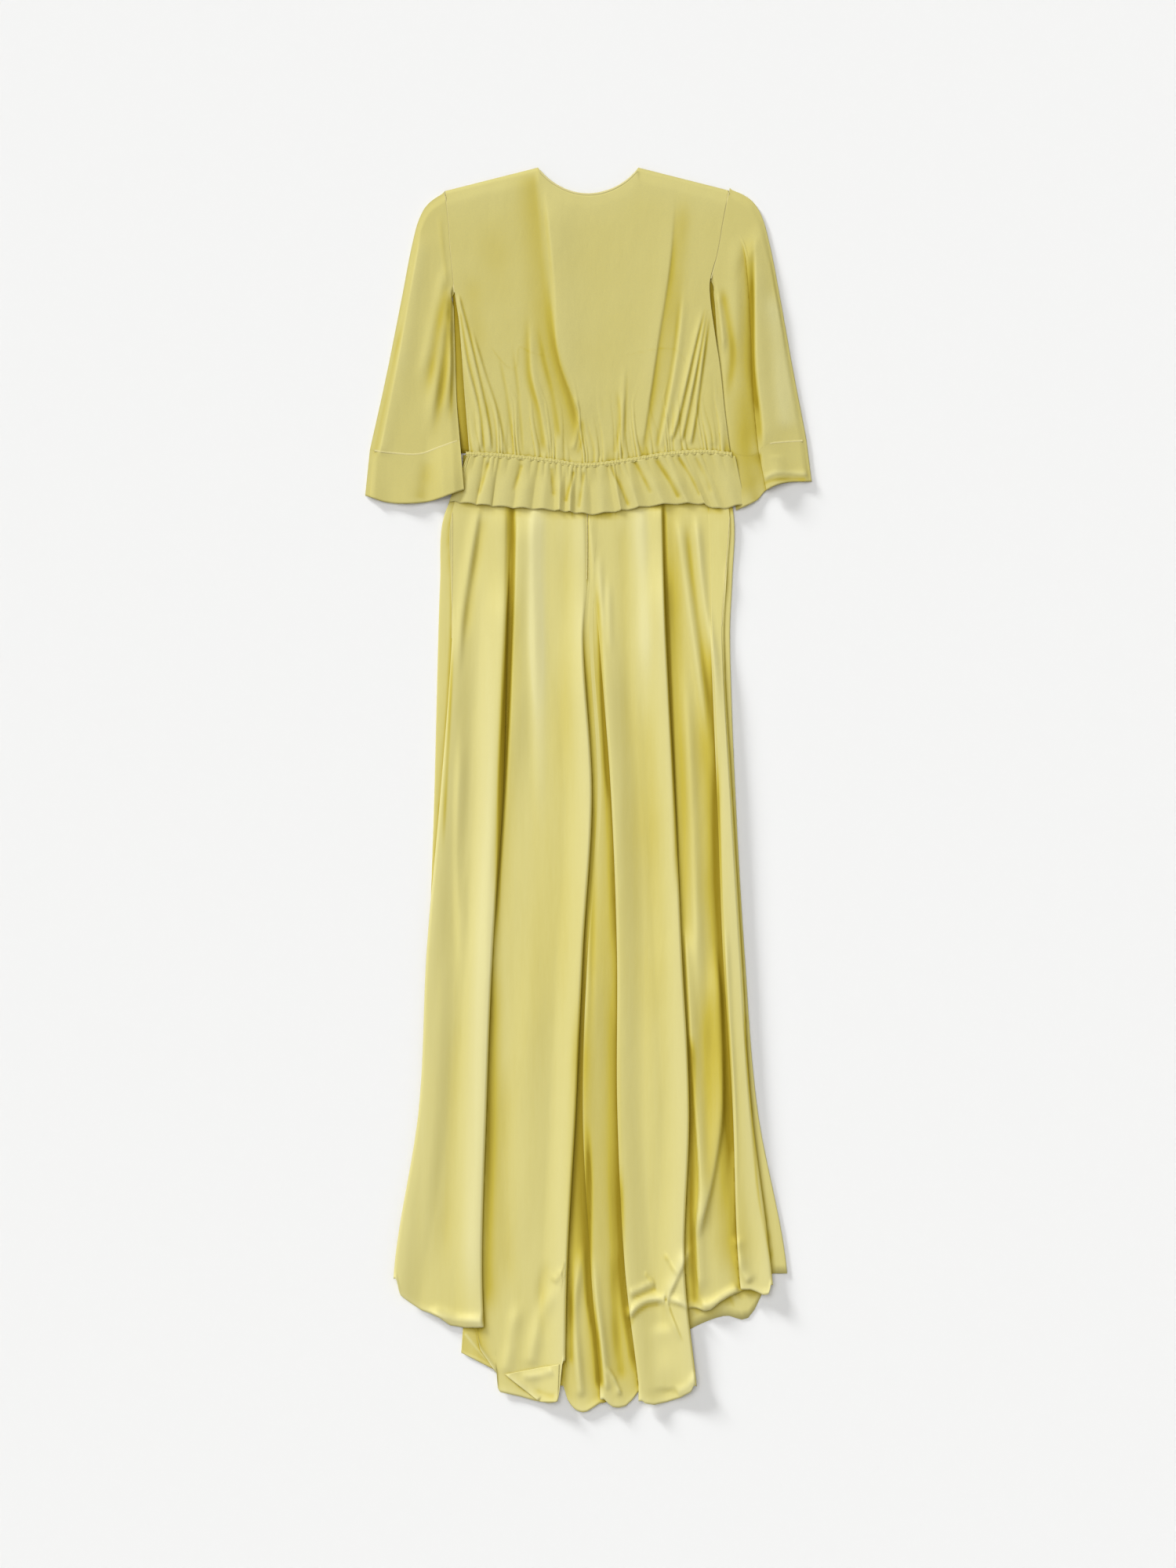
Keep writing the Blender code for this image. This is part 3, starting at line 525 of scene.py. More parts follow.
@dataclass(frozen=True)
class Chiffon:
    """Thin matt crepe chiffon, slightly see-through."""

    name: str = "yellow_chiffon"
    tones: Tones = Tones((0.775, 0.712, 0.325), (0.720, 0.640, 0.232), (0.620, 0.508, 0.085),
                         (0.400, 0.290, 0.020))
    sheen: Sizes = (1.0, 0.93, 0.52, 1.0)
    opacity: float = 0.84
    denser: float = 0.12
    thread: float = 0.0007
    thread_depth: float = 0.00012
    swell_depth: float = 0.0007
    patches: Grain = Grain(14.0, 3.0)
    crepe: Grain = Grain(700.0)
    swells: Grain = Grain(60.0, 2.0, (1.0, 0.4, 1.0))
    varied: float = 0.3

    def material(self) -> bpy.types.Material:
        """The chiffon's material, whose crepe varies its colour and how far it is seen through.

        Returns:
            The material.
        """
        bench = NodeBench(self.name)
        crepe = bench.noise(self.crepe)
        variation = bench.noise(self.patches) * self.varied + crepe * self.varied - self.varied
        swells = bench.bump(bench.noise(self.swells), self.swell_depth)
        return bench.finish(bench.add("ShaderNodeBsdfPrincipled", inputs={
            # Its own patchy colour, with the baked painted fold shade and painted highlights on top.
            "Base Color": bench.cloth_colour(self.tones, variation),
            "Roughness": 0.82,
            "Specular IOR Level": 0.05,
            "Specular Tint": self.sheen,
            "Alpha": crepe * self.denser + self.opacity,
            "Normal": bench.bump(crepe + bench.weave(self.thread), self.thread_depth, swells),
        }))


@dataclass(frozen=True)
class Thread:
    """Sewing thread and narrow turned seams, a little lighter than the cloth."""

    name: str = "seam_thread"
    light: Triple = (0.760, 0.690, 0.330)
    deep: Triple = (0.640, 0.550, 0.200)
    twist: Grain = Grain(900.0, 1.0)
    twist_depth: float = 0.0001

    def material(self) -> bpy.types.Material:
        """The thread's material.

        Returns:
            The material.
        """
        bench = NodeBench(self.name)
        twist = bench.noise(self.twist)
        return bench.finish(bench.add("ShaderNodeBsdfPrincipled", inputs={
            "Base Color": bench.shift_colour(self.deep, self.light, twist),
            "Roughness": 0.7,
            "Sheen Weight": 0.2,
            "Normal": bench.bump(twist, self.twist_depth),
        }))


@dataclass(frozen=True)
class PaleFloor:
    """The plain pale surface that the dress lies on."""

    name: str = "pale_floor"
    light: float = 0.90
    deep: float = 0.8955
    grain: Grain = Grain(300.0, 1.0)

    def material(self) -> bpy.types.Material:
        """The floor's material.

        Returns:
            The material.
        """
        bench = NodeBench(self.name)
        return bench.finish(bench.add("ShaderNodeBsdfPrincipled", inputs={
            "Base Color": bench.shift_colour((self.light,) * 3, (self.deep,) * 3, bench.noise(self.grain)),
            "Roughness": 0.95,
            "Specular IOR Level": 0.1,
        }))


class Finish(Enum):
    """The finishes of the dress."""

    SATIN = Satin()
    CHIFFON = Chiffon()
    THREAD = Thread()

    def material(self) -> bpy.types.Material:
        """The finish's material, made once."""
        return bpy.data.materials.get(self.value.name) or self.value.material()


# Pieces


@dataclass(frozen=True)
class Cut:
    """The flat cut of a piece of cloth: its width and length, how it is held, and its area's digits."""

    width: float
    length: float
    held: str
    digits: int = 4


def shaped(name: str, points: Any, faces: Any, material: bpy.types.Material) -> bpy.types.Object:
    """Adds a mesh to the scene.

    Args:
        name: The object's name.
        points: The mesh's points.
        faces: Its faces, as numbers of points.
        material: Its material.

    Returns:
        The object.
    """
    mesh = bpy.data.meshes.new(name)
    mesh.from_pydata(points, [], faces)
    mesh.shade_smooth()
    mesh.materials.append(material)
    made = bpy.data.objects.new(name, mesh)
    bpy.context.scene.collection.objects.link(made)
    return made


class Cloth:
    """A thin piece of cloth, built through a grid of points."""

    def __init__(self, name: str, finish: Finish) -> None:
        """Names the piece.

        Args:
            name: The piece's name.
            finish: Its finish, which gives the piece's mesh its material.
        """
        self.name = name
        self.finish = finish
        self.object: bpy.types.Object
        self.grid: Array
        self.tone: Array

    def build(self, grid: Array, tone: Any = 0.0, ring: bool = False) -> "Cloth":
        """Makes the mesh.

        Args:
            grid: Rows, columns and coordinates of the cloth's middle.
            tone: How much deeper the cloth's colour is at each place: mostly painted shade, and painted
                highlight where below 0.
            ring: Whether each row closes on itself.

        Returns:
            The piece itself.
        """
        self.grid = grid
        self.tone = np.broadcast_to(np.asarray(tone, float), grid.shape[:2])
        rows, columns = grid.shape[:2]
        r = np.arange(rows - 1)[:, None]
        c = np.arange(columns if ring else columns - 1)[None]
        after = (c + 1) % columns
        faces = np.stack([r * columns + c, (r + 1) * columns + c,
                          (r + 1) * columns + after, r * columns + after], axis=-1).reshape(-1, 4)
        self.object = shaped(self.name, grid.reshape(-1, 3).tolist(), faces.tolist(), self.finish.material())
        solid = self.object.modifiers.new("wall", "SOLIDIFY")
        solid.thickness = WALL
        solid.offset = 0
        return self

    def fit(self, *nodes: str) -> "Cloth":
        """Rides the piece on the dress in place of those nodes.

        Args:
            nodes: The nodes that it stands for.

        Returns:
            The piece itself.
        """
        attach(self.object, "root")
        if nodes:
            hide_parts(*nodes)
        LOG.info("%s: %d faces", self.name, len(self.object.data.polygons))
        return self

    def declare(self, cut: Cut, rests_on: Sequence[str], extras: Sequence[bpy.types.Object] = ()) -> None:
        """Takes the piece's flat cut, and does nothing with it.

        Args:
            cut: The cut; not used.
            rests_on: The pieces and nodes beneath it; not used.
            extras: The small pieces sewn to it; not used.
        """


@dataclass
class Landscape:
    """The dress's uppermost heights over a fine chart, from which each place gets its painted fold shade."""

    cell: float = 0.001
    half_width: float = 0.300
    half_height: float = 0.810
    reach: Sizes = (0.0015, 0.003, 0.005, 0.008, 0.012, 0.018, 0.026)
    directions: int = 10
    gain: float = 1.7
    level_with: float = 0.0003
    covered: float = 0.0016
    covered_share: float = 0.8
    least: float = -1.0
    most: float = 2.0

    def counts(self) -> tuple[int, int]:
        """How many cells the chart has across and along the dress."""
        return int(2 * self.half_width / self.cell), int(2 * self.half_height / self.cell)

    def cells(self, x: Array, y: Array) -> Arrays:
        """The chart's cells at some places.

        Args:
            x: The places' x.
            y: Their y.

        Returns:
            The cells' numbers across and along the dress.
        """
        across_count, along_count = self.counts()
        return (
            np.clip(((x + self.half_width) / self.cell).astype(int), 0, across_count - 1),
            np.clip(((y + self.half_height) / self.cell).astype(int), 0, along_count - 1),
        )

    def chart(self, cloths: Sequence[Cloth]) -> Array:
        """The highest cloth in each cell.

        Args:
            cloths: The pieces of cloth.

        Returns:
            The heights.
        """
        heights = np.zeros(self.counts())
        for cloth in cloths:
            points = cloth.grid
            for axis in (0, 1):
                step = np.abs(np.diff(points[..., :2], axis=axis)).max()
                pieces = max(1, math.ceil(step / self.cell))
                low = np.take(points, range(points.shape[axis] - 1), axis=axis)
                high = np.take(points, range(1, points.shape[axis]), axis=axis)
                parts = [blend(low, high, n / pieces) for n in range(pieces)]
                last = np.take(points, [-1], axis=axis)
                stacked = np.stack(parts, axis=axis + 1).reshape(
                    *points.shape[:axis], -1, *points.shape[axis + 1:])
                points = np.concatenate([stacked, last], axis=axis)
            flat = points.reshape(-1, 3)
            np.maximum.at(heights, self.cells(flat[:, 0], flat[:, 1]), flat[:, 2])
        return heights

    def settle(self, cloths: Sequence[Cloth]) -> None:
        """Bakes painted shade into each cloth's colour: how much of the sky its neighbours hide, plus its
        own tone.

        Args:
            cloths: The pieces of cloth.
        """
        heights = self.chart(cloths)
        for cloth in cloths:
            x, y, z = (cloth.grid[..., k].ravel() for k in range(3))
            # Painted shade: each point darkens by how much of the sky the cloth around it hides, and where
            # other cloth lies over it.
            hidden = np.zeros(x.shape)
            for n in range(self.directions):
                angle = math.tau * n / self.directions
                slope = np.zeros(x.shape)
                for reach in self.reach:
                    beside = heights[self.cells(x + reach * math.cos(angle), y + reach * math.sin(angle))]
                    slope = np.maximum(slope, (beside - z - self.level_with) / reach)
                hidden += slope**2 / (1 + slope**2) / self.directions
            under = np.clip((heights[self.cells(x, y)] - z) / self.covered - 1, 0, 1)
            depth = self.gain * np.maximum(hidden, under * self.covered_share) + cloth.tone.ravel()
            attribute = cloth.object.data.attributes.new(PAINTED_FOLD_SHADE, "FLOAT", "POINT")
            kept = np.clip(depth, self.least, self.most)
            attribute.data.foreach_set("value", kept.astype(np.float32))
            LOG.info("%s: fold depth %.2f on average", cloth.name, float(depth.mean()))


class Top:
    """The uppermost surface of some pieces, on which seams and stitches are laid."""

    above = 0.1

    def __init__(self, *pieces: Cloth) -> None:
        """Reads the pieces' meshes.

        Args:
            pieces: The pieces that make up the surface.
        """
        self.trees = []
        for piece in pieces:
            mesh = piece.object.data
            points = [v.co[:] for v in mesh.vertices]
            faces = [tuple(p.vertices) for p in mesh.polygons]
            self.trees.append(BVHTree.FromPolygons(points, faces))

    def z(self, x: float, drop: float, missing: float = 0.004) -> float:
        """The height of the cloth at that place.

        Args:
            x: The place's x.
            drop: Its drop.
            missing: The height where there is no cloth.

        Returns:
            The height.
        """
        found = [missing]
        for tree in self.trees:
            hit = tree.ray_cast((x, HALF_LENGTH - drop, self.above), (0, 0, -1))
            if hit[0] is not None:
                found.append(hit[0].z)
        return max(found)


@dataclass(frozen=True)
class Seam:
    """A narrow rounded seam, or a row of stitches, that lies on the cloth along a line.

    puckers is how much its height swells and sinks; dash is the length of a stitch and of the gap after it.
    profile says how far sideways and how high each point of its section lies, as shares.
    """

    name: str
    line: Line
    width: float
    height: float
    lift: float
    puckers: float = 0.0
    dash: float = 0.0
    samples: int = 160
    pucker_pitch: float = 0.0042
    smoothed: int = 2
    profile: Line = ((-1, 0.0), (-0.6, 0.75), (0, 1.0), (0.6, 0.75), (1, 0.0))

    def build(self, top: Top, slot: Finish) -> bpy.types.Object:
        """Lays it on the cloth.

        Args:
            top: The cloth that it lies on.
            slot: The finish of that cloth; not used.

        Returns:
            The seam's object.
        """
        run = rounded(np.asarray(self.line, float)[None], SEAM_PIECES)[0]
        lengths = lengths_of(run)
        at = np.linspace(0, lengths[-1], self.samples)
        x, drop = np.interp(at, lengths, run[:, 0]), np.interp(at, lengths, run[:, 1])
        z = np.pad([top.z(a, b) for a, b in zip(x, drop)], self.smoothed, mode="edge")
        window = 2 * self.smoothed + 1
        z = np.convolve(z, np.ones(window) / window, mode="valid") + self.lift
        tangent = np.gradient(np.stack([x, drop], axis=1), axis=0)
        tangent /= np.linalg.norm(tangent, axis=1)[:, None]
        swell = 1 + self.puckers * np.sin(at / self.pucker_pitch * math.pi)
        verts = [
            (x[n] - tangent[n, 1] * sideways * self.width / 2,
             HALF_LENGTH - (drop[n] + tangent[n, 0] * sideways * self.width / 2),
             z[n] + up * self.height * swell[n])
            for n in range(self.samples) for sideways, up in self.profile
        ]
        faces = []
        count = len(self.profile)
        for n in range(self.samples - 1):
            if self.dash and int(at[n] / self.dash) % 2:
                continue
            start, end = n * count, (n + 1) * count
            faces += [(start + k, start + k + 1, end + k + 1, end + k) for k in range(count - 1)]
            faces.append((start, end, end + count - 1, start + count - 1))
        made = shaped(self.name, verts, faces, Finish.THREAD.material())
        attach(made, "root")
        LOG.info("%s: %d faces", self.name, len(faces))
        return made


# Skirt


@dataclass(frozen=True)
class Fold:
    """A lengthwise fold of the skirt's back: over is 1 where the left cloth lies over the right one.

    edge is the visible edge's x at each of the skirt's levels, and deep says how far the fold has formed
    there. tuck is how far the cloth runs back under the edge; top and step are the edge's height and its
    drop to the cloth beside it; lying is its height where it has not formed. The hems are drops on the
    fold's three layers.
    """

    over: int
    edge: Sizes
    deep: Sizes
    tuck: float
    top: float
    step: float
    lying: float
    hem_edge: float
    hem_tuck: float
    hem_low: float


def folded(over: int, edge: Sizes, deep: Sizes, *sizes: float) -> Fold:
    """A fold from its sizes in millimetres, with how far it has formed in percent.

    Args:
        over: Which cloth lies over the other.
        edge: Its edge's x at each level.
        deep: How far it has formed there.
        sizes: Its other sizes, in their order.

    Returns:
        The fold.
    """
    return Fold(over, metres(*edge), from_percent(*deep), *metres(*sizes))


@dataclass(frozen=True)
class Panel:
    """The cloth between two folds: its hem as (x, drop) pairs, its crown and its columns."""

    hem: Line
    crown: float
    columns: int


# Creases of the skirt's back. Their tones are painted shade in hollows, slots, beside fold edges and under
# the ruffle, and painted highlights on ridges: those named sheen or pale are painted sheen, the golden and
# brown ones broad painted shade.
SKIRT_CREASES = creased_by(
    # name, line, rise, left, right, fade in, fade out, tone (painted shade, or painted highlight below 0)
    # left panel
    ("left trough", (-134, 440, -150, 530, -163, 620), -1.2, 4, 8, 10, 30, 45),
    ("left diagonal ridge", (-139, 430, -150, 500, -161, 580, -167, 660), 2.8, 8, 4, 10, 40, -20),
    ("left pale strip", (-180, 440, -182, 550, -184, 620), 2, 4, 5, 10, 30, -70),
    ("side slot left", (-172.5, 600, -176.5, 700, -181, 786, -186, 890), 0, 3, 2, 15, 30, 110),
    ("left long ridge", (-160, 680, -166, 880, -158, 1050), 2.4, 6, 10, 30, 40, -15),
    ("left swell", (-135, 460, -128, 800, -140, 1200, -150, 1460), 1.8, 16, 10, 30, 10, -80),
    ("left low ridge", (-176, 950, -192, 1200, -214, 1440), 2, 12, 14, 30, 20, -10),
    ("left low trough", (-160, 1000, -172, 1200, -184, 1420), -0.8, 10, 10, 30, 20, 28),
    ("slot left bank", (-106.5, 430, -108.5, 550, -112.5, 700, -120, 900), 2, 18, 4, 5, 50, 0),
    ("slot hollow", (-96.5, 420, -96.5, 480, -99, 580, -104, 700, -110, 820, -118, 960),
     -1.6, 8, 2.8, 4, 20, 160),
    ("slot dark side", (-101, 500, -105, 600, -108.5, 700, -112.5, 800, -118, 1000), 0, 4, 3, 40, 20, 150),
    ("left hem curl", (-205, 1455, -188, 1463, -168, 1469, -134, 1470), 3.4, 5, 7, 20, 5, -50),
    # centre left panel
    ("slot right bank", (-90, 430, -93, 550, -98.5, 700, -106, 880), 4.8, 2, 20, 10, 45, -15),
    ("sheen left", (-69, 430, -69, 500, -68, 600, -65, 700, -62, 860), 2.6, 7, 11, 4, 60, -170),
    ("seam sheen", (-9, 430, -6, 490, -8.5, 570, -10, 660), 1.4, 13, 4, 5, 40, -45),
    ("seam line", (-1, 425, -1, 480, -1.5, 535), -0.3, 1.2, 1.2, 2, 10, 100),
    ("left of seam hollow", (-30, 440, -28, 600, -20, 900), -0.8, 12, 12, 20, 50, 22),
    ("centre left swell", (-70, 950, -78, 1200, -70, 1400), 2.2, 20, 24, 30, 30, 8),
    ("centre left calm", (-42, 560, -46, 800, -56, 1200), 0, 40, 36, 25, 30, 20),
    ("second edge shade", (-8, 1000, -18, 1200, -23, 1400, -24, 1500), 0, 8, 6, 30, 10, 75),
    ("under edge shade", (-123.5, 1000, -126.5, 1200, -129, 1400, -127, 1470), 0, 3, 13, 20, 10, 100),
    ("centre left low trough", (-104, 1100, -106, 1300, -100, 1460), -0.8, 10, 10, 30, 20, 30),
    ("hem wave one", (-40, 1420, -62, 1470, -74, 1530), 2.6, 8, 10, 30, 10, -15),
    ("hem hollow one", (-50, 1390, -60, 1430, -56, 1500), -1, 6, 8, 20, 30, 28),
    ("hem wave two", (-88, 1440, -98, 1490, -106, 1540), 2, 7, 9, 30, 10, -12),
    ("edge dip", (-45, 1420, -30, 1405), 1.4, 4, 5, 10, 10, 10),
    ("turned hem", (-155, 1486, -138, 1508, -117, 1538), 2.4, 4, 3, 5, 10, -80),
    # strips below the centre seam
    ("strip hollow", (10, 525, 16, 620, 20, 720, 26, 820), -0.8, 3, 3, 15, 20, 100),
    ("strip light", (13, 490, 16, 540, 20, 600), 1.8, 4, 5, 20, 30, -45),
    ("strip light two", (25, 520, 26, 570, 28, 620), 1.4, 4, 5, 20, 30, -35),
    ("right of seam", (1, 440, 4, 480, 8, 530), 1.6, 2, 6, 10, 20, -20),
    ("strip shade", (22, 700, 29, 860, 34, 1020), 0, 5, 3, 20, 20, 60),
    ("strip mid trough", (8, 780, 6, 950, 2, 1120), -0.8, 4, 4, 20, 20, 40),
    ("lobe one ridge", (-1, 1360, -14, 1410, -18, 1470, -10, 1570), 4, 5, 6, 45, 5, -20),
    ("lobe one hollow", (-21.5, 1380, -22, 1450, -22.5, 1530), -1, 3, 4, 45, 10, 90),
    ("slot wedge", (-1, 1200, 1, 1300, 0.5, 1400, 2, 1440, 11, 1500, 15.5, 1560), -1, 4.6, 3.4, 30, 4, 230),
    ("strip gold", (30, 1020, 33, 1180, 34, 1330, 38, 1460), 0, 9, 7, 30, 15, 70),
    ("strip low shade", (-3, 1020, -7, 1180, -8, 1330, -6, 1430), 0, 9, 10, 30, 15, 90),
    ("lobe two edge", (6, 1380, 10, 1440, 17, 1500, 23, 1560), 3.4, 2, 6, 45, 5, -40),
    ("lobe two fold", (24, 1530, 33, 1545, 41, 1565), 2.6, 4, 2, 10, 10, -30),
    ("lobe two hollow", (32, 1370, 33, 1430, 37, 1500, 44, 1550), -1, 6, 6, 45, 10, 80),
    ("valley to the right panel", (40, 1260, 42, 1360, 42, 1410, 48, 1470, 60, 1540), 0, 4, 4, 20, 10, 120),
    # centre right panel
    ("sheen right", (66, 430, 69, 520, 72, 620, 73, 740), 1.6, 10, 8, 4, 50, -90),
    ("right panel shade", (70, 640, 76, 800, 80, 1000), 0, 30, 24, 40, 40, 35),
    ("right soft trough", (43, 440, 48, 580, 55, 800), -0.8, 10, 10, 10, 40, 20),
    ("centre right swell", (72, 950, 84, 1150, 86, 1340), 1.8, 16, 20, 30, 30, 12),
    ("centre right calm", (72, 560, 78, 800, 88, 1200), 0, 36, 36, 25, 30, 20),
    ("slot two left bank", (92, 430, 95, 540, 102, 700), 3, 14, 2.2, 3, 50, 0),
    ("slot two", (96, 430, 98.5, 530, 103.5, 660, 109, 800, 113, 940), -1, 2.4, 3, 2, 15, 150),
    ("slot two shade", (104, 420, 108, 540, 115, 680, 123, 840, 126, 1000), -0.6, 6, 12, 3, 20, 50),
    ("star arm up", (99, 1443, 114, 1411, 132, 1372), 3.4, 3, 9, 5, 30, -55),
    ("star arm left", (99, 1443, 78, 1443, 61, 1452, 48, 1468), 4, 5, 4, 5, 20, -70),
    ("star under arm", (92, 1449, 74, 1452, 58, 1464, 52, 1482), 0, 4, 3, 10, 20, 80),
    ("star upper arm", (85, 1420, 68, 1428, 50, 1436), 2, 4, 4, 10, 20, -40),
    ("star upper hollow", (88, 1429, 70, 1436, 52, 1443), -1.2, 3, 3, 10, 20, 60),
    ("star arm right", (99, 1443, 114, 1446, 134, 1455), 3.4, 3, 6, 5, 30, -50),
    ("star arm down", (99, 1443, 108, 1470, 120, 1497), 2.2, 6, 2, 5, 40, -10),
    ("star arm down line", (102, 1450, 111, 1474, 122, 1500), 0, 1.5, 1.5, 10, 30, 70),
    ("star short one", (72, 1409, 85, 1427), 1.4, 2, 2, 10, 10, 40),
    ("star short two", (97, 1385, 113, 1411), 1.4, 2, 2, 10, 10, 40),
    ("right hem swell", (94, 1470, 98, 1510, 100, 1560), 2.6, 14, 16, 20, 5, -20),
    ("right hem corner", (112, 1562, 128, 1552, 139, 1535), 2, 5, 5, 10, 10, -35),
    # right strips
    ("right diagonal one", (112, 440, 126, 540, 140, 640, 160, 780), 3, 5, 8, 10, 30, -45),
    ("right diagonal two", (136, 440, 146, 540, 158, 620, 166, 700), 3, 4, 6, 10, 30, -50),
    ("right diagonal hollow", (124, 450, 137, 560, 152, 670, 162, 760), -0.8, 5, 4, 10, 30, 80),
    ("right long ridge", (120, 600, 130, 780, 138, 980, 146, 1120), 3.4, 7, 8, 30, 30, -35),
    ("brown slot", (166, 720, 165, 840, 168, 980, 177, 1120, 180, 1220, 176, 1300, 170, 1360),
     -0.8, 8, 4, 15, 30, 130),
    ("crossing shade", (150, 1020, 153, 1180, 151, 1280, 145, 1340), 0, 10, 10, 30, 20, 50),
    ("right strip edge", (123, 960, 132, 1130, 142, 1290, 138, 1360, 142, 1440), 4.6, 1.8, 10, 10, 5, -35),
    ("slot two low", (130, 1100, 132, 1260, 131, 1340, 134, 1420, 137, 1455), 0, 4, 6, 10, 5, 140),
    ("crossing ridge", (161, 980, 168, 1080, 170, 1160, 168, 1220, 157, 1290, 145, 1340, 139, 1370),
     4.4, 12, 3, 20, 10, -30),
    ("right hem curl", (142, 1450, 154, 1449, 172, 1438, 192, 1428), 3.4, 5, 5, 10, 10, -40),
    ("outer bend", (187, 1360, 192, 1395, 206, 1422), 3, 4, 8, 20, 10, -20),
    ("outer slot", (196, 1060, 206.5, 1190, 214.5, 1290, 223, 1345, 237, 1409), 0, 2, 2, 15, 5, 100),
    ("outer rim", (174, 960, 179, 1080, 185, 1200, 186.5, 1360), 2, 2, 4, 15, 20, -50),
    ("right pale edge", (176, 500, 177, 580, 176, 660), 1.6, 3, 3, 20, 20, -60),
    ("under the ruffle", (-170, 430, -107, 437, -42, 441, 5, 446, 30, 443, 92, 434, 145, 433, 165, 439,
                          175, 437), 0, 6, 6, 2, 2, 15),
    ("golden strips", (8, 800, 10, 1100, 18, 1400, 28, 1570), 0, 28, 34, 30, 5, 50),
    ("golden right top", (118, 430, 130, 680, 145, 960), 0, 14, 36, 5, 30, 15),
    ("golden right middle", (145, 660, 150, 800, 155, 1000), 0, 18, 14, 25, 30, 50),
    ("golden right low", (145, 860, 165, 1150, 190, 1420), 0, 26, 30, 40, 10, 75),
)


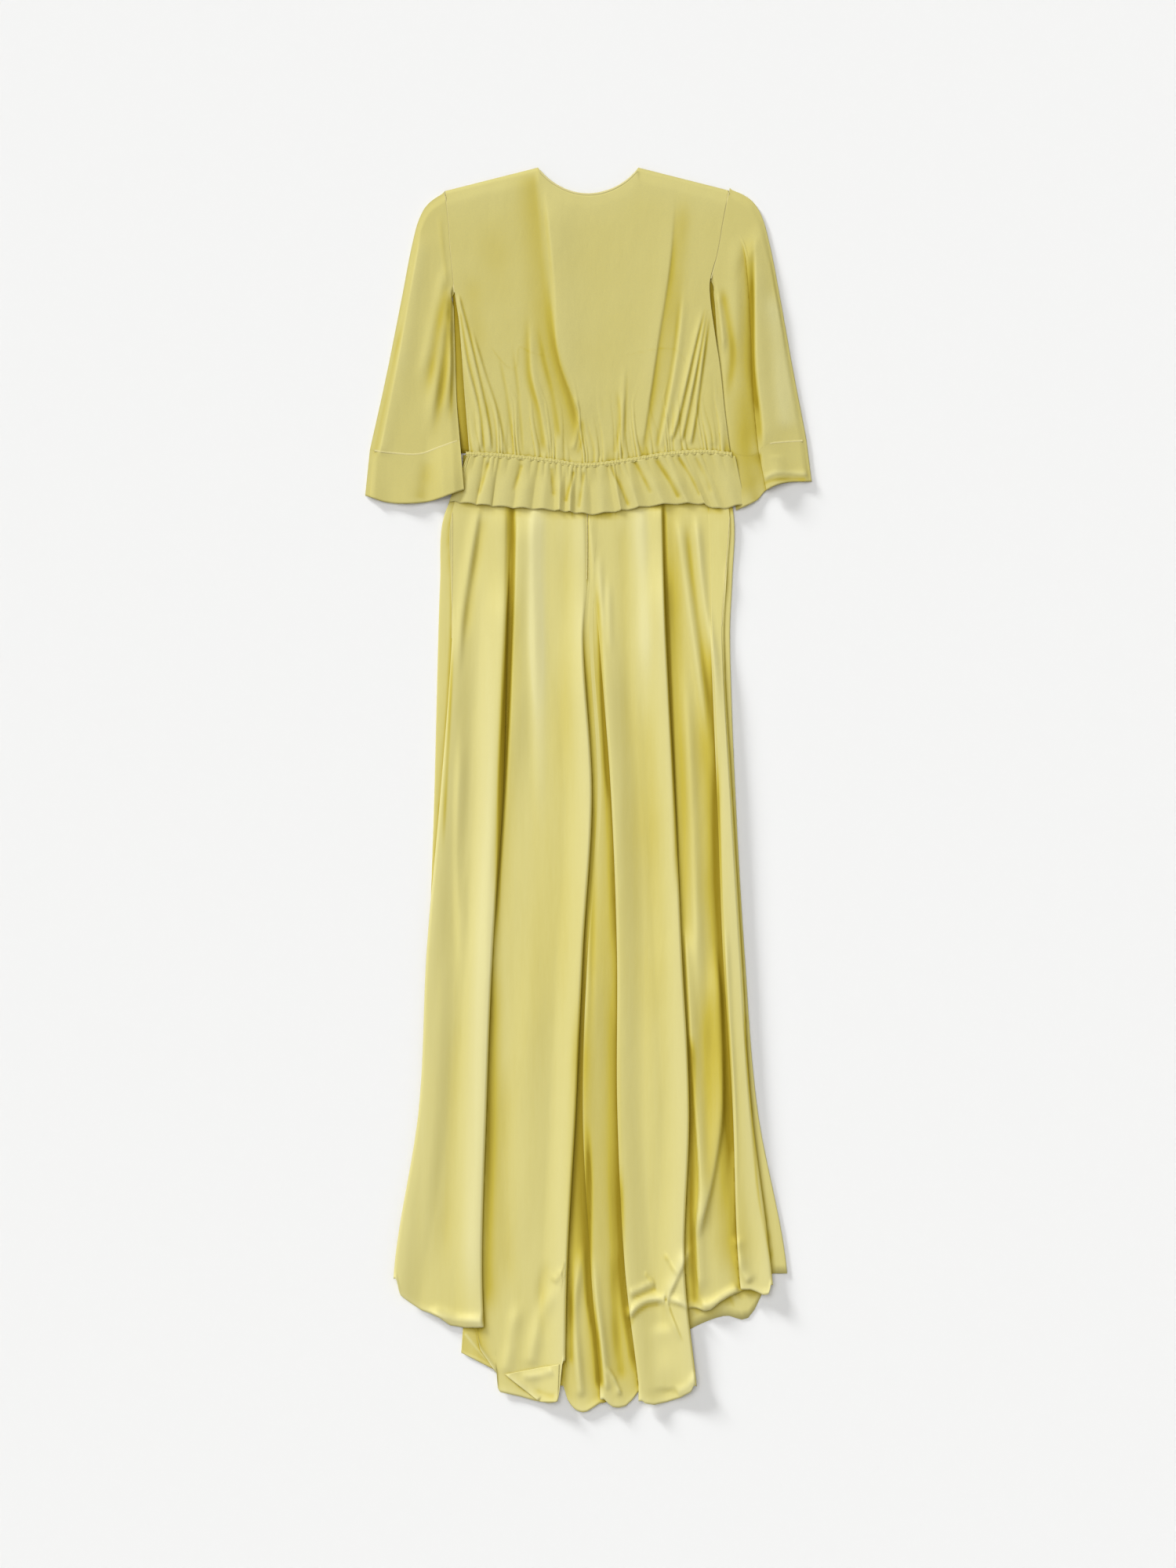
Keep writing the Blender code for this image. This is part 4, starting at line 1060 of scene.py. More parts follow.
@dataclass
class Skirt:
    """The satin skirt: the folded back in two pieces, which a centre seam joins, over a flat front."""

    levels: Sizes = (0.386, 0.450, 0.525, 0.600, 0.800, 1.000, 1.200, 1.400, 1.550)
    rest: float = 0.0023
    wrap: float = 0.0024
    front_z: float = 0.0005
    ruffle_lift: float = 0.0014
    lift_ends: Pair = (0.445, 0.520)
    round_length: float = 0.0024
    loose_length: float = 0.0022
    formed: float = 0.30
    rise_length: float = 0.034
    highest: float = 0.0092
    hem_blend: float = 0.06
    shade_length: float = 0.030
    fold_share: float = 0.70
    # Painted highlights on fold crests and on edges that face the light; painted shade on edges that face
    # away.
    crest_highlights: Pair = (-0.25, -0.55)
    edge_highlight_and_shade: Pair = (-0.70, 0.90)
    rows: int = 89
    fine_from: float = 0.80
    fine_rows: int = 72
    hem_row: float = 0.9975
    fold_pieces: int = 5
    hem_curl: float = 0.0016
    hem_curl_share: float = 0.010
    # Painted highlight along the curled hem.
    hem_curl_highlight: float = -0.35
    hem_curl_wave: Triple = (0.4, 90, 0)
    creased_from: Pair = (0.415, 0.445)
    least_depth: float = 0.0009
    wrap_lap: float = 0.005
    wrap_shares: Sizes = (0.75, 0.5, 0.25)
    turn_pieces: int = 9
    turn_out: float = 0.0018
    turn_in: float = 0.0020
    front_rows: int = 90
    front_columns: int = 60
    front_left: Sizes = (-0.1580, -0.1855, -0.1890, -0.1915, -0.1965, -0.2035, -0.2120, -0.2380,
                                     -0.2400)
    front_right: Sizes = (0.1740, 0.1860, 0.1835, 0.1805, 0.1875, 0.1990, 0.2155, 0.2525,
                                      0.2535)
    front_hem: Line = outline(-240, 1385, -150, 1440, -80, 1500, 0, 1520, 75, 1510,
        140, 1476, 175, 1464, 205, 1466, 235, 1412, 253.5, 1410)
    folds: dict[str, Fold] = field(default_factory=lambda: {
        # over, edge's x at each level, how far formed, tuck, top, step, lying, and three hems
        "side_left": folded(
            -1, (-156, -173.5, -173.7, -173.5, -188.5, -206, -216, -247, -249),
            (0, 0, 3, 15, 50, 80, 100, 100, 100),
            10, 10.3, 6.4, 4, 1416, 1412, 1408),
        "left": folded(
            1, (-99, -100, -102, -104, -109, -122, -130, -135.5, -130),
            (0, 4, 10, 35, 70, 90, 100, 100, 90),
            14, 11.2, 8.8, 2.3, 1478, 1480, 1482),
        "centre": folded(
            1, (-1.5, -1.5, -2, -7, 4.5, -7, -16, -27, -30), (0, 0, 0, 14, 60, 90, 100, 100, 90),
            14, 11, 8.5, 2.3, 1521, 1535, 1552),
        "inner": folded(
            -1, (8.5, 8.5, 6.5, 4.5, 15, -0.5, -7, 3, 15), (0, 0, 0, 0, 0, 15, 60, 95, 100),
            9, 8.8, 6.2, 2.3, 1570, 1572, 1574),
        "right": folded(
            -1, (18.5, 18.5, 9, 14, 29, 36.5, 37, 46.5, 64), (0, 0, 0, 14, 60, 90, 100, 100, 90),
            12, 11, 8.5, 2.3, 1572, 1564, 1560),
        "right_edge": folded(
            1, (93.5, 94, 96.3, 99, 110, 119, 128.5, 122.5, 137.5), (0, 4, 18, 45, 80, 95, 100, 100, 80),
            13, 11.5, 9, 2.3, 1552, 1526, 1500),
        "outer": folded(
            -1, (148, 152, 154, 156, 164, 171.5, 184, 191.5, 210), (0, 0, 3, 10, 60, 90, 100, 100, 100),
            9, 11, 8.5, 2.3, 1430, 1431, 1431),
        "side_right": folded(
            1, (169, 178, 174, 171.5, 183, 195, 208, 232.5, 244), (0, 0, 3, 10, 30, 60, 100, 100, 100),
            9, 10.3, 6.4, 4, 1424, 1420, 1416),
    })
    left_order: tuple[Any, ...] = (
        "side_left", Panel(outline(-249, 1424, -242.5, 1434, -236.5, 1440, -224.5, 1449, -212.5, 1457,
            -200.5, 1461, -188.5, 1467, -176.5, 1476, -158.5, 1479, -132.5, 1478), 0.0, 64),
        "left", Panel(outline(-156, 1483, -138.5, 1506, -117, 1537, -116.3, 1554, -113, 1561,
            -86.5, 1567, -68.5, 1572, -50.5, 1575, -40, 1573, -33, 1555, -21.5, 1522), 0.0, 74),
        "centre",
    )
    right_order: tuple[Any, ...] = (
        "centre", Panel(outline(-32, 1553, -26.5, 1571, -20.5, 1580, -14.5, 1585, -7.5, 1587, -1.5, 1586,
            6, 1581, 15, 1575), 0.0010, 22),
        "inner", Panel(outline(19, 1568, 25, 1575, 31.5, 1580, 39.5, 1581, 47.5, 1579, 56, 1571, 64, 1560),
            0.0012, 30),
        "right", Panel(outline(66, 1568, 72, 1575, 83.5, 1577, 99.5, 1574, 117.5, 1568, 129.5, 1561,
            140, 1550), 0.0, 64),
        "right_edge", Panel(outline(137.5, 1454, 148, 1458, 156, 1456, 168, 1446, 180, 1439, 195, 1433,
            207, 1431), 0.0022, 44),
        "outer", Panel(outline(207, 1430, 215, 1433, 223, 1437, 229, 1436, 238, 1426), 0.0, 26),
        "side_right",
    )
    seams: tuple[tuple[str, Line, float], ...] = (
        ("centre_seam", outline(-1.5, 430, -1.5, 480, -2, 525), 0.5),
        ("side_seam_left", outline(-173.5, 440, -173.5, 520, -174, 600), 0.3),
        ("side_seam_right", outline(180, 445, 174.5, 520, 170, 585), 0.3),
    )
    creases: tuple[Crease, ...] = SKIRT_CREASES

    def lift(self, drop: Any) -> Any:
        """How far the ruffle's hidden front lifts the skirt at that drop."""
        return self.ruffle_lift * (1 - ramp(drop, self.lift_ends))

    def fold_run(self, fold: Fold, shares: Array) -> Array:
        """The smooth run of points round a fold, from left to right.

        Args:
            fold: The fold.
            shares: The rows' shares of the skirt's length.

        Returns:
            Rows, points, and their coordinates and tone: painted highlight on the crest, and painted shade
            in the tuck.
        """
        middle_hem = (fold.hem_edge + fold.hem_tuck) / 2
        crest, edge = self.crest_highlights[fold.over > 0], self.edge_highlight_and_shade[fold.over > 0]
        # The tones paint a highlight on the crest and on an edge facing the light, shade on an edge facing
        # away, and shade under the fold.
        layers = (  # hem, share of the tuck, way of the turn, share of the step below the top, tone
            (fold.hem_edge, 0.0, -1.0, 0.0, crest),
            (fold.hem_edge, 0.0, 0.0, 0.34, edge),
            (middle_hem, 0.5, 0.0, 0.60, 0.50),
            (fold.hem_tuck, 1.0, 0.0, 0.82, 1.0),
            (fold.hem_low, 1.0, 1.0, 1.0, 1.0),
        )
        knots = []
        for hem, tucked, rounding, height, tone in layers:
            drop = blend(WAIST_DROP, hem, shares)
            deep = np.maximum(along(self.levels, fold.deep, drop), 0.0)
            formed = ease(deep / self.formed)
            tuck = blend(-self.loose_length, fold.tuck, deep)
            turn = rounding * blend(self.loose_length / 2, self.round_length, formed)
            x = along(self.levels, fold.edge, drop) - fold.over * (tucked * tuck - turn)
            step = self.fold_share * fold.step
            top = blend(fold.lying, fold.top - fold.step + step, formed)
            z = top - height * step * formed + self.lift(drop)
            knots.append(np.concatenate([points_of(x, drop, z), (tone * formed)[:, None]], axis=1))
        run = np.stack(knots if fold.over > 0 else knots[::-1], axis=1)
        return rounded(run, self.fold_pieces)

    def panel_run(self, panel: Panel, before: Array, after: Array,
                  shares: Array) -> Array:
        """The points between two folds: raised at both edges and at rest between.

        Args:
            panel: The panel.
            before: The last points of the fold on its left.
            after: The first points of the fold on its right.
            shares: The rows' shares of the skirt's length.

        Returns:
            Rows, points, and their coordinates and tone, the painted shade that spreads from the folds
            beside it.
        """
        stops = np.linspace(0, 1, panel.columns + 2)[1:-1]
        hem_x = blend(before[-1, 0], after[-1, 0], stops)
        hem = np.interp(hem_x, [p[0] for p in panel.hem], [p[1] for p in panel.hem])
        drop = blend(WAIST_DROP, hem[None, :], shares[:, None])
        for side, share_in in ((before, stops), (after, 1 - stops)):
            ends = HALF_LENGTH - side[:, 1:2]
            at = np.argmin(share_in)
            drop = drop + (ends - drop[:, at:at + 1]) * (1 - ease(share_in / self.hem_blend))
        width = np.abs(after[:, 0] - before[:, 0])[:, None]
        rest = self.rest + self.lift(drop) + panel.crown * shares[:, None] * np.sin(math.pi * stops)
        rise = (before[:, 2:3] - rest) * (1 - ease(stops * width / self.rise_length))
        fall = (after[:, 2:3] - rest) * (1 - ease((1 - stops) * width / self.rise_length))
        shared = np.maximum(rise, 0) * np.maximum(fall, 0) / self.highest
        x = blend(before[:, 0:1], after[:, 0:1], stops)
        # Painted shade beside each fold, fading into the panel over shade_length.
        near, far = ((1 - np.clip(share_in * width / self.shade_length, 0, 1)) ** 1.5
                     for share_in in (stops, 1 - stops))
        tone = before[:, 3:] * near + after[:, 3:] * far
        return np.concatenate([points_of(x, drop, rest + rise + fall - shared), tone[..., None]], axis=2)

    def back_grid(self, order: Sequence[Any], first: int, last: int) -> Arrays:
        """The grid of one back piece, with its creases and curled hem.

        Args:
            order: Its folds and panels from left to right.
            first: The first column that belongs to it.
            last: How many columns at the end don't.

        Returns:
            Rows, columns and coordinates, and the tone at each place: painted shade and painted highlight.
        """
        shares = np.concatenate([np.linspace(0, self.fine_from, self.rows)[:-1],
                                 np.linspace(self.fine_from, 1, self.fine_rows)[:-1], (self.hem_row, 1.0)])
        runs = [self.fold_run(self.folds[part], shares) if isinstance(part, str) else part
                for part in order]
        whole = []
        for n, run in enumerate(runs):
            if isinstance(run, Panel):
                run = self.panel_run(run, runs[n - 1][:, -1], runs[n + 1][:, 0], shares)
            whole.append(run)
        run = np.concatenate(whole, axis=1)[:, first:]
        run = run[:, :-last] if last else run
        grid = run[..., :3].copy()
        drop = HALF_LENGTH - grid[..., 1]
        rise, tone = relief(self.creases, grid[..., 0], drop)
        curl = ease((shares - 1 + self.hem_curl_share) / self.hem_curl_share)[:, None]
        low = np.minimum(self.rest - self.least_depth - grid[..., 2], 0)
        grid[..., 2] += np.maximum(rise * ramp(drop, self.creased_from), low)
        curled = waves(1 - self.hem_curl_wave[0], grid[..., 0], self.hem_curl_wave)
        grid[..., 2] += self.hem_curl * curl * curled
        # The tone adds the folds' and creases' painted shade and highlights, and a painted highlight on the
        # curled hem.
        return grid, run[..., 3] + tone + self.hem_curl_highlight * curl

    def column(self, x_at: Callable[[Any], Any], hem: float, z: float) -> Array:
        """A lengthwise run of the front.

        Args:
            x_at: Gives its x at its drops.
            hem: The drop of its hem.
            z: Its height, without the ruffle's lift.

        Returns:
            The run's points.
        """
        drop = blend(WAIST_DROP, hem, np.linspace(0, 1, self.front_rows))
        return points_of(x_at(drop), drop, z + self.lift(drop))

    def wrapped_side(self, sign: int) -> list[Array]:
        """The front's side: lapped over the back at the side seam, and turned down to the flat cloth.

        Args:
            sign: 1 at the left side and -1 at the right one, the way to the dress's middle.

        Returns:
            The lengthwise runs, from the lapped edge to the flat cloth.
        """
        values, fold = (self.front_left, "side_left") if sign > 0 else (self.front_right, "side_right")
        hem = self.front_hem[0 if sign > 0 else -1][1]

        def edge(drop: Any) -> Any:
            return along(self.levels, values, drop)

        def lap(drop: Any) -> Any:
            nearer = np.maximum if sign > 0 else np.minimum
            return nearer(edge(drop), along(self.levels, self.folds[fold].edge, drop)) + sign * self.wrap_lap

        runs = [self.column(lap, hem, self.wrap)]
        for share in self.wrap_shares:
            runs.append(self.column(
                lambda drop, s=share: blend(edge(drop) + sign * self.turn_in, lap(drop), s), hem, self.wrap))
        radius = (self.wrap - self.front_z) / 2
        for n in range(self.turn_pieces + 1):
            angle = math.pi * n / self.turn_pieces
            inward = sign * (self.turn_in - self.turn_out * math.sin(angle))
            z = self.front_z + radius * (1 - math.cos(math.pi - angle))
            runs.append(self.column(lambda drop, i=inward: edge(drop) + i, hem, z))
        return runs

    def front_grid(self) -> Array:
        """The grid of the flat front, whose sides wrap up and over to the side seams.

        Returns:
            Rows, columns and coordinates.
        """
        first, last = self.front_hem[0][0], self.front_hem[-1][0]
        flat = []
        for share in np.linspace(0, 1, self.front_columns + 1)[1:-1]:
            hem = float(across(self.front_hem, blend(first, last, share)))
            flat.append(self.column(lambda drop, s=share: blend(
                along(self.levels, self.front_left, drop) + self.turn_in,
                along(self.levels, self.front_right, drop) - self.turn_in, s), hem, self.front_z))
        return np.stack([*self.wrapped_side(1), *flat, *reversed(self.wrapped_side(-1))], axis=1)

    def build(self) -> tuple[Cloth, Cloth, Cloth]:
        """Builds the skirt's pieces.

        Returns:
            The front, the left back and the right back.
        """
        to_seam = 2 * self.fold_pieces
        front = Cloth("skirt_front_cloth", Finish.SATIN).build(self.front_grid())
        left = Cloth("skirt_left_cloth", Finish.SATIN).build(
            *self.back_grid(self.left_order, self.fold_pieces, to_seam + 1))
        right = Cloth("skirt_right_cloth", Finish.SATIN).build(
            *self.back_grid(self.right_order, to_seam, self.fold_pieces))
        return front.fit("skirt_front"), left.fit("skirt_back_left"), right.fit("skirt_back_right")

    def dress(self, front: Cloth, left: Cloth, right: Cloth) -> list[Cloth]:
        """Args:
            front: The front.
            left: The left back.
            right: The right back.

        Returns:
            The turned pieces.
        """
        top = Top(front, left, right)
        centre, side_left, side_right = (
            Seam(name, line, 0.0012, 0.0004, 0.0002, puckers).build(top, Finish.SATIN)
            for name, line, puckers in self.seams)
        turns = [turn.build(top) for turn in HEM_TURNS]
        front.declare(Cut(0.56, 1.15, "laid", 3), ["floor"], [])
        left.declare(Cut(0.36, 1.19, "folded", 3), ["skirt_front_cloth"],
                     [centre, side_left, *(turn.object for turn in turns)])
        right.declare(Cut(0.46, 1.21, "folded", 3), ["skirt_front_cloth"],
                      [side_right])
        return turns


@dataclass(frozen=True)
class HemTurn:
    """A turned piece of the skirt's hem: its corners and their heights, from the top left one round.

    Where it is over, it follows the cloth beneath it.
    """

    name: str
    corners: tuple[Pair, Pair, Pair, Pair]
    heights: tuple[float, float, float, float]
    creases: tuple[Crease, ...]
    # Painted shade over the whole piece, or a painted highlight where below 0.
    tone: float
    over: bool
    count: int = 40
    least_z: float = 0.002

    def build(self, top: Top) -> Cloth:
        """Builds it.

        Args:
            top: The cloth that it may lie over.

        Returns:
            The turned piece.
        """
        u, v = np.meshgrid(np.linspace(0, 1, self.count), np.linspace(0, 1, self.count), indexing="ij")
        tl, tr, br, bl = (np.array((*c, h)) for c, h in zip(self.corners, self.heights))
        flat = blend(blend(tl, tr, v[..., None]), blend(bl, br, v[..., None]), u[..., None])
        x, drop, z = (flat[..., k] for k in range(3))
        rise, tone = relief(self.creases, x, drop)
        if self.over:
            z = z + np.array([[top.z(float(a), float(b), self.least_z) for a, b in zip(*row)]
                              for row in zip(x, drop)])
        made = Cloth(self.name, Finish.SATIN)
        return made.build(points_of(x, drop, z + rise), self.tone + tone).fit()


# The turned pieces' creases paint highlights on their edges and crests and shade in their hollows; the under
# fold is darkened as painted shade.
HEM_TURNS = (
    HemTurn(
        "turned_corner_cloth",
        outline(-107, 1538.5, -37, 1525, -39.2, 1573, -62, 1573.5),
        (0.0012, 0.0010, 0.0012, 0.0012),
        creased_by(
            ("turned edge", (-105, 1540, -84, 1555, -63, 1572), 2, 3, 5, 5, 5, -50),
            ("turned hollow", (-72, 1557, -55, 1563, -42, 1566), 0, 5, 4, 30, 10, 55),
            ("turned crest", (-88, 1541, -64, 1540, -44, 1532), 1.6, 6, 6, 20, 10, -30),
        ),
        -0.15, True,
    ),
    HemTurn(
        "under_fold_cloth",
        outline(-159.2, 1470, -135, 1472, -114, 1536, -162.2, 1511),
        (0.0013, 0.0013, 0.0013, 0.0013),
        creased_by(
            ("under ridge", (-158, 1486, -142, 1506, -121, 1530), 0.6, 1.8, 1.8, 5, 5, -70),
            ("under hem", (-161.5, 1490, -161, 1509, -140, 1520, -119, 1531),
             0.6, 1.6, 1.6, 5, 5, -40),
        ),
        0.45, False,
    ),
)


# Bodice


BODICE_CREASES = creased_by(
    # name, line, rise, left, right, fade in, fade out, tone (painted shade in bands and lines, painted
    # highlight below 0; along the slip's edges, the slip showing through)
    ("long band", (-72, 0, -63, 95, -55, 188, -37, 256, -17, 318, -15, 372), -1.2, 20, 6, 5, 10, 65),
    ("long band core", (-60, 90, -50, 170, -40, 240, -19, 310, -15.5, 350), 0, 6, 3, 40, 15, 70),
    ("long step", (-56, 10, -43, 140, -37, 240, -10, 312, -6, 345), 6.2, 3.5, 30, 20, 15, -18),
    ("second band", (-78, 180, -76, 260, -64, 310, -56, 364), -0.8, 5, 3, 30, 8, 90),
    ("second step", (-74, 190, -71, 262, -58, 320, -51, 366), 3, 2, 6, 30, 8, -20),
    ("third band", (-66, 190, -58, 240, -46, 290, -36, 350), -0.6, 4, 3, 30, 10, 70),
    ("wedge", (-18, 290, -12, 325, -20, 362), 2.4, 4, 2, 20, 10, -20),
    ("wedge slot", (-8, 318, -7.5, 345, -15, 366), 0, 2, 2, 20, 10, 60),
    ("armpit left one", (-168, 160, -152, 222, -130, 320, -125, 364), 4.2, 4, 2.5, 6, 5, -30),
    ("armpit left line one", (-165, 160, -149, 222, -127, 320, -122, 364), 0, 1.8, 1.6, 6, 5, 80),
    ("armpit left two", (-166.5, 180, -158, 240, -141, 310, -137, 362), 4, 4, 2.5, 6, 5, -30),
    ("armpit left line two", (-164, 180, -154, 240, -138, 310, -133, 362), 0, 1.8, 1.6, 6, 5, 80),
    ("armpit left three", (-151, 200, -134, 260, -118, 310, -107, 366), 3, 4, 2.5, 20, 5, -20),
    ("armpit left line three", (-148, 205, -131, 262, -115, 312, -104, 366), 0, 1.8, 1.6, 20, 5, 60),
    ("left line four", (-115, 235, -104, 290, -94, 366), -0.8, 2.4, 2, 30, 5, 60),
    ("left line five", (-98, 220, -90, 280, -83, 366), -0.8, 2.4, 2, 30, 5, 50),
    ("right sharp fold", (110, 22, 103, 120, 88, 220, 74, 315, 67, 360), 2.2, 14, 2.2, 35, 5, -15),
    ("right sharp line", (113.5, 20, 106.5, 120, 91.5, 220, 77.5, 315, 70, 360), -0.8, 2.2, 6, 35, 5, 85),
    ("right band", (124, 22, 117, 120, 103, 220, 90, 315), 0, 8, 9, 20, 30, 50),
    ("right second line", (118, 150, 110, 230, 96, 310, 86, 362), -0.8, 3, 2, 30, 5, 60),
    ("right second ridge", (123, 150, 115, 230, 101, 310, 91, 362), 3, 2, 5, 30, 5, -20),
    ("armpit right one", (148, 172, 132, 240, 116, 310, 105, 350), 4.6, 4, 2, 30, 5, -25),
    ("armpit right line one", (151, 172, 134.5, 240, 119, 310, 108, 350), 0, 1.6, 1.8, 20, 5, 90),
    ("armpit right two", (151, 175, 139, 245, 125, 315, 117, 352), 4.4, 3, 2, 30, 5, -25),
    ("armpit right line two", (153.5, 175, 141.5, 245, 128, 315, 120, 352), 0, 1.6, 1.8, 20, 5, 90),
    ("armpit right three", (154, 180, 145, 245, 136, 315, 129, 356), 4, 3, 2, 30, 5, -20),
    ("armpit right line three", (156, 180, 147.5, 245, 138.5, 315, 132, 356), 0, 1.6, 1.8, 20, 5, 90),
    ("right side swell", (152, 250, 156, 310, 160, 356), 1.6, 8, 6, 20, 5, 10),
    ("centre right ridge", (46, 240, 44, 300, 40, 370), 2.6, 4, 3, 50, 5, -10),
    ("centre right line", (50, 250, 48, 300, 44, 370), -0.6, 2, 2, 50, 5, 50),
    ("centre right dart", (36, 280, 40, 320, 34, 365), -0.8, 3, 2, 30, 5, 60),
    ("slip edge left", (-126, 226, -113, 244, -100, 256, -91, 252, -88, 230, -70, 237, -37, 244),
     0.3, 1.2, 1, 10, 30, 28),
    ("side hollow left", (-148, 120, -144, 190, -130, 260), -0.6, 12, 12, 30, 40, 28),
    ("yoke hollow left", (-120, 60, -115, 130, -105, 200), -0.6, 22, 20, 30, 40, 22),
    ("slip edge right", (38, 242, 85, 232, 110, 232, 126, 250), 0.3, 1.2, 1, 30, 10, 24),
)


@dataclass
class Bodice:
    """The sheer bodice: a gathered back over a plain front in two halves, and the slip's top between."""

    neck_half_width: float = 0.0640
    neck_scoop: float = 0.033
    shoulder_x: float = 0.1830
    shoulder_drop: float = 0.030
    gathers: int = 46
    gather_height: float = 0.0021
    crease_share: float = 0.60
    # Painted shade over the hidden front halves, which lie under the back.
    inside_shade: float = 1.25
    scoop_power: float = 0.85
    row_power: float = 0.85
    wander: tuple[Triple, Triple] = ((0.55, 41, 0), (0.35, 97, 1))
    lean: float = 0.25
    mean_length: float = 0.42
    lengths: tuple[Triple, Triple] = ((0.34, 2.4, 0), (0.18, 5.1, 0))
    strengths: Triple = (0.32, 1.7, 0.6)
    least_length: float = 0.012
    arch_power: float = 0.8
    drawn_share: float = 0.45
    drawn_length: float = 0.030
    side_length: float = 0.006
    shoulder_length: float = 0.020
    shoulder_z: float = 0.0021
    neck_z: float = 0.0038
    yoke_length: float = 0.060
    waist_gap: float = 0.0006
    # Painted shade between the gathers and painted highlight on their arches; yoke_tone makes the cloth
    # paler near its top edge.
    hollow_shade: float = 0.95
    arch_highlight: float = -0.30
    yoke_tone: float = -0.25
    gather_length: float = 0.150
    spread: float = 0.62
    back_z: float = 0.0046
    front_z: float = 0.0009
    side_reach: float = 0.0010
    seam_gap: float = 0.0004
    front_shape: tuple[int, int] = (50, 26)
    front_gap: float = 0.001
    v_depth: float = 0.300
    side_from: Pair = (0.13, 0.16)
    slip_shape: tuple[int, int] = (24, 120)
    slip_half_width: float = 0.150
    slip_end: float = 0.356
    slip_z: float = 0.0020
    binding_half_width: float = 0.062
    binding_in: float = 0.0014
    rows: int = 130
    columns: int = 370
    back_left: Line = outline(-183, 30, -178.5, 70, -175.5, 110, -170.5, 162, -165, 200,
        -158.5, 286, -152, 366)
    back_right: Line = outline(180, 26, 171.5, 70, 164.5, 110, 155.5, 144, 156, 170,
        160, 200, 169, 260, 174, 308, 181.5, 366)
    front_left: Line = outline(-183, 30, -178.5, 70, -175.5, 110, -172.2, 160, -171.7, 190,
        -170.2, 240, -168.2, 300, -164, 366)
    front_right: Line = outline(180, 26, 171.5, 70, 164.5, 110, 158, 144, 164.5, 190,
        168, 260, 169, 308, 176.5, 366)
    slip_top: Line = outline(-150, 250, -128, 232, -98, 254, -86, 236, -40, 241, 40, 241,
        95, 236, 115, 230, 150, 246)
    creases: tuple[Crease, ...] = BODICE_CREASES

    def top_drop(self, x: Any) -> Any:
        """The bodice's top outline: a scooped neck between straight shoulders.

        Args:
            x: The places across.

        Returns:
            The outline's drop there.
        """
        side = np.abs(x)
        scoop = np.clip(1 - (side / self.neck_half_width) ** 2, 0, 1)
        slope = (side - self.neck_half_width) / (self.shoulder_x - self.neck_half_width)
        return np.where(side < self.neck_half_width, self.neck_scoop * scoop**self.scoop_power,
                        self.shoulder_drop * np.maximum(slope, 0))

    def gather_rise(self, u: Array, drop: Array,
                    waist: Array) -> Arrays:
        """The small gathers, uneven in length, width and height.

        Args:
            u: The share across the cloth.
            drop: The drops there.
            waist: The drop of the casing there.

        Returns:
            How strong they are at each place, and their rise there, as shares of their height.
        """
        wander = waves(0, u, *self.wander) + self.lean * np.sin(drop * 60 + u * 30)
        count = u * self.gathers + wander
        index = np.floor(count)
        length = self.gather_length * waves(self.mean_length, index, *self.lengths)
        fade = 1 - ease((waist - drop) / np.maximum(length, self.least_length))
        strong = waves(1 - self.strengths[0], index, self.strengths)
        arch = np.abs(np.sin(math.pi * (count - index))) ** self.arch_power
        return strong * fade, strong * fade * arch

    def back_grid(self) -> Arrays:
        """The grid of the gathered back.

        Returns:
            Rows, columns and coordinates, and the tone at each place: painted shade and highlight, paler
            near the top.
        """
        share = (np.linspace(0, 1, self.rows) ** self.row_power)[:, None]
        u = np.linspace(0, 1, self.columns)[None]
        spread = self.spread * np.sin(math.pi * np.minimum(1.0, share * 1.25))
        v = u - spread * np.sin(2 * math.pi * u) / (2 * math.pi)
        x_top = blend(self.back_left[0][0], self.back_right[0][0], v) + self.seam_gap
        top = self.top_drop(x_top)
        waist = across(WAIST_LINE, blend(self.back_left[-1][0], self.back_right[-1][0], v)) - self.waist_gap
        drop = blend(top, waist, share)
        left = down(self.back_left, drop) + self.seam_gap
        right = down(self.back_right, drop) - self.seam_gap
        x = blend(left, right, v)
        inward = ease(np.minimum(x - left, right - x) / self.side_length)
        drawn = 1 - self.drawn_share * ease((drop - waist + self.drawn_length) / self.drawn_length)
        strong, arch = self.gather_rise(u, drop, waist)
        creased, tone = relief(self.creases, x, drop)
        rise = self.gather_height * arch + self.crease_share * creased * drawn
        on_shoulder = np.where(np.abs(x_top) > self.neck_half_width, self.shoulder_z, self.neck_z)
        z = blend(on_shoulder, self.back_z + inward * rise, ease((drop - top) / self.shoulder_length))
        # Painted shade in the hollows between the gathers and painted highlight on their arches, and a paler
        # colour near the top edge.
        tone = tone + self.hollow_shade * (strong - arch) + self.arch_highlight * arch
        return points_of(x, drop, z), tone + self.yoke_tone * (1 - ease((drop - top) / self.yoke_length))

    def front_grid(self, sign: int) -> Array:
        """The grid of a hidden front half, open in a deep V.

        Args:
            sign: -1 for the left half and 1 for the right one.

        Returns:
            Rows, columns and coordinates.
        """
        side = self.front_left if sign < 0 else self.front_right
        share, u = spans(self.front_shape)
        x_top = blend(sign * self.neck_half_width, side[0][0], u)
        top = self.shoulder_drop * (np.abs(x_top) - self.neck_half_width) / (
            self.shoulder_x - self.neck_half_width)
        drop = blend(top, across(WAIST_LINE, blend(0.0, side[-1][0], u)) - self.front_gap, share)
        opening = self.neck_half_width * (1 - ease(drop / self.v_depth))
        outer = down(side, drop) + sign * self.side_reach * ramp(drop, self.side_from)
        grid = points_of(blend(sign * np.maximum(opening, self.seam_gap), outer, u), drop, self.front_z)
        return grid if sign > 0 else grid[:, ::-1]

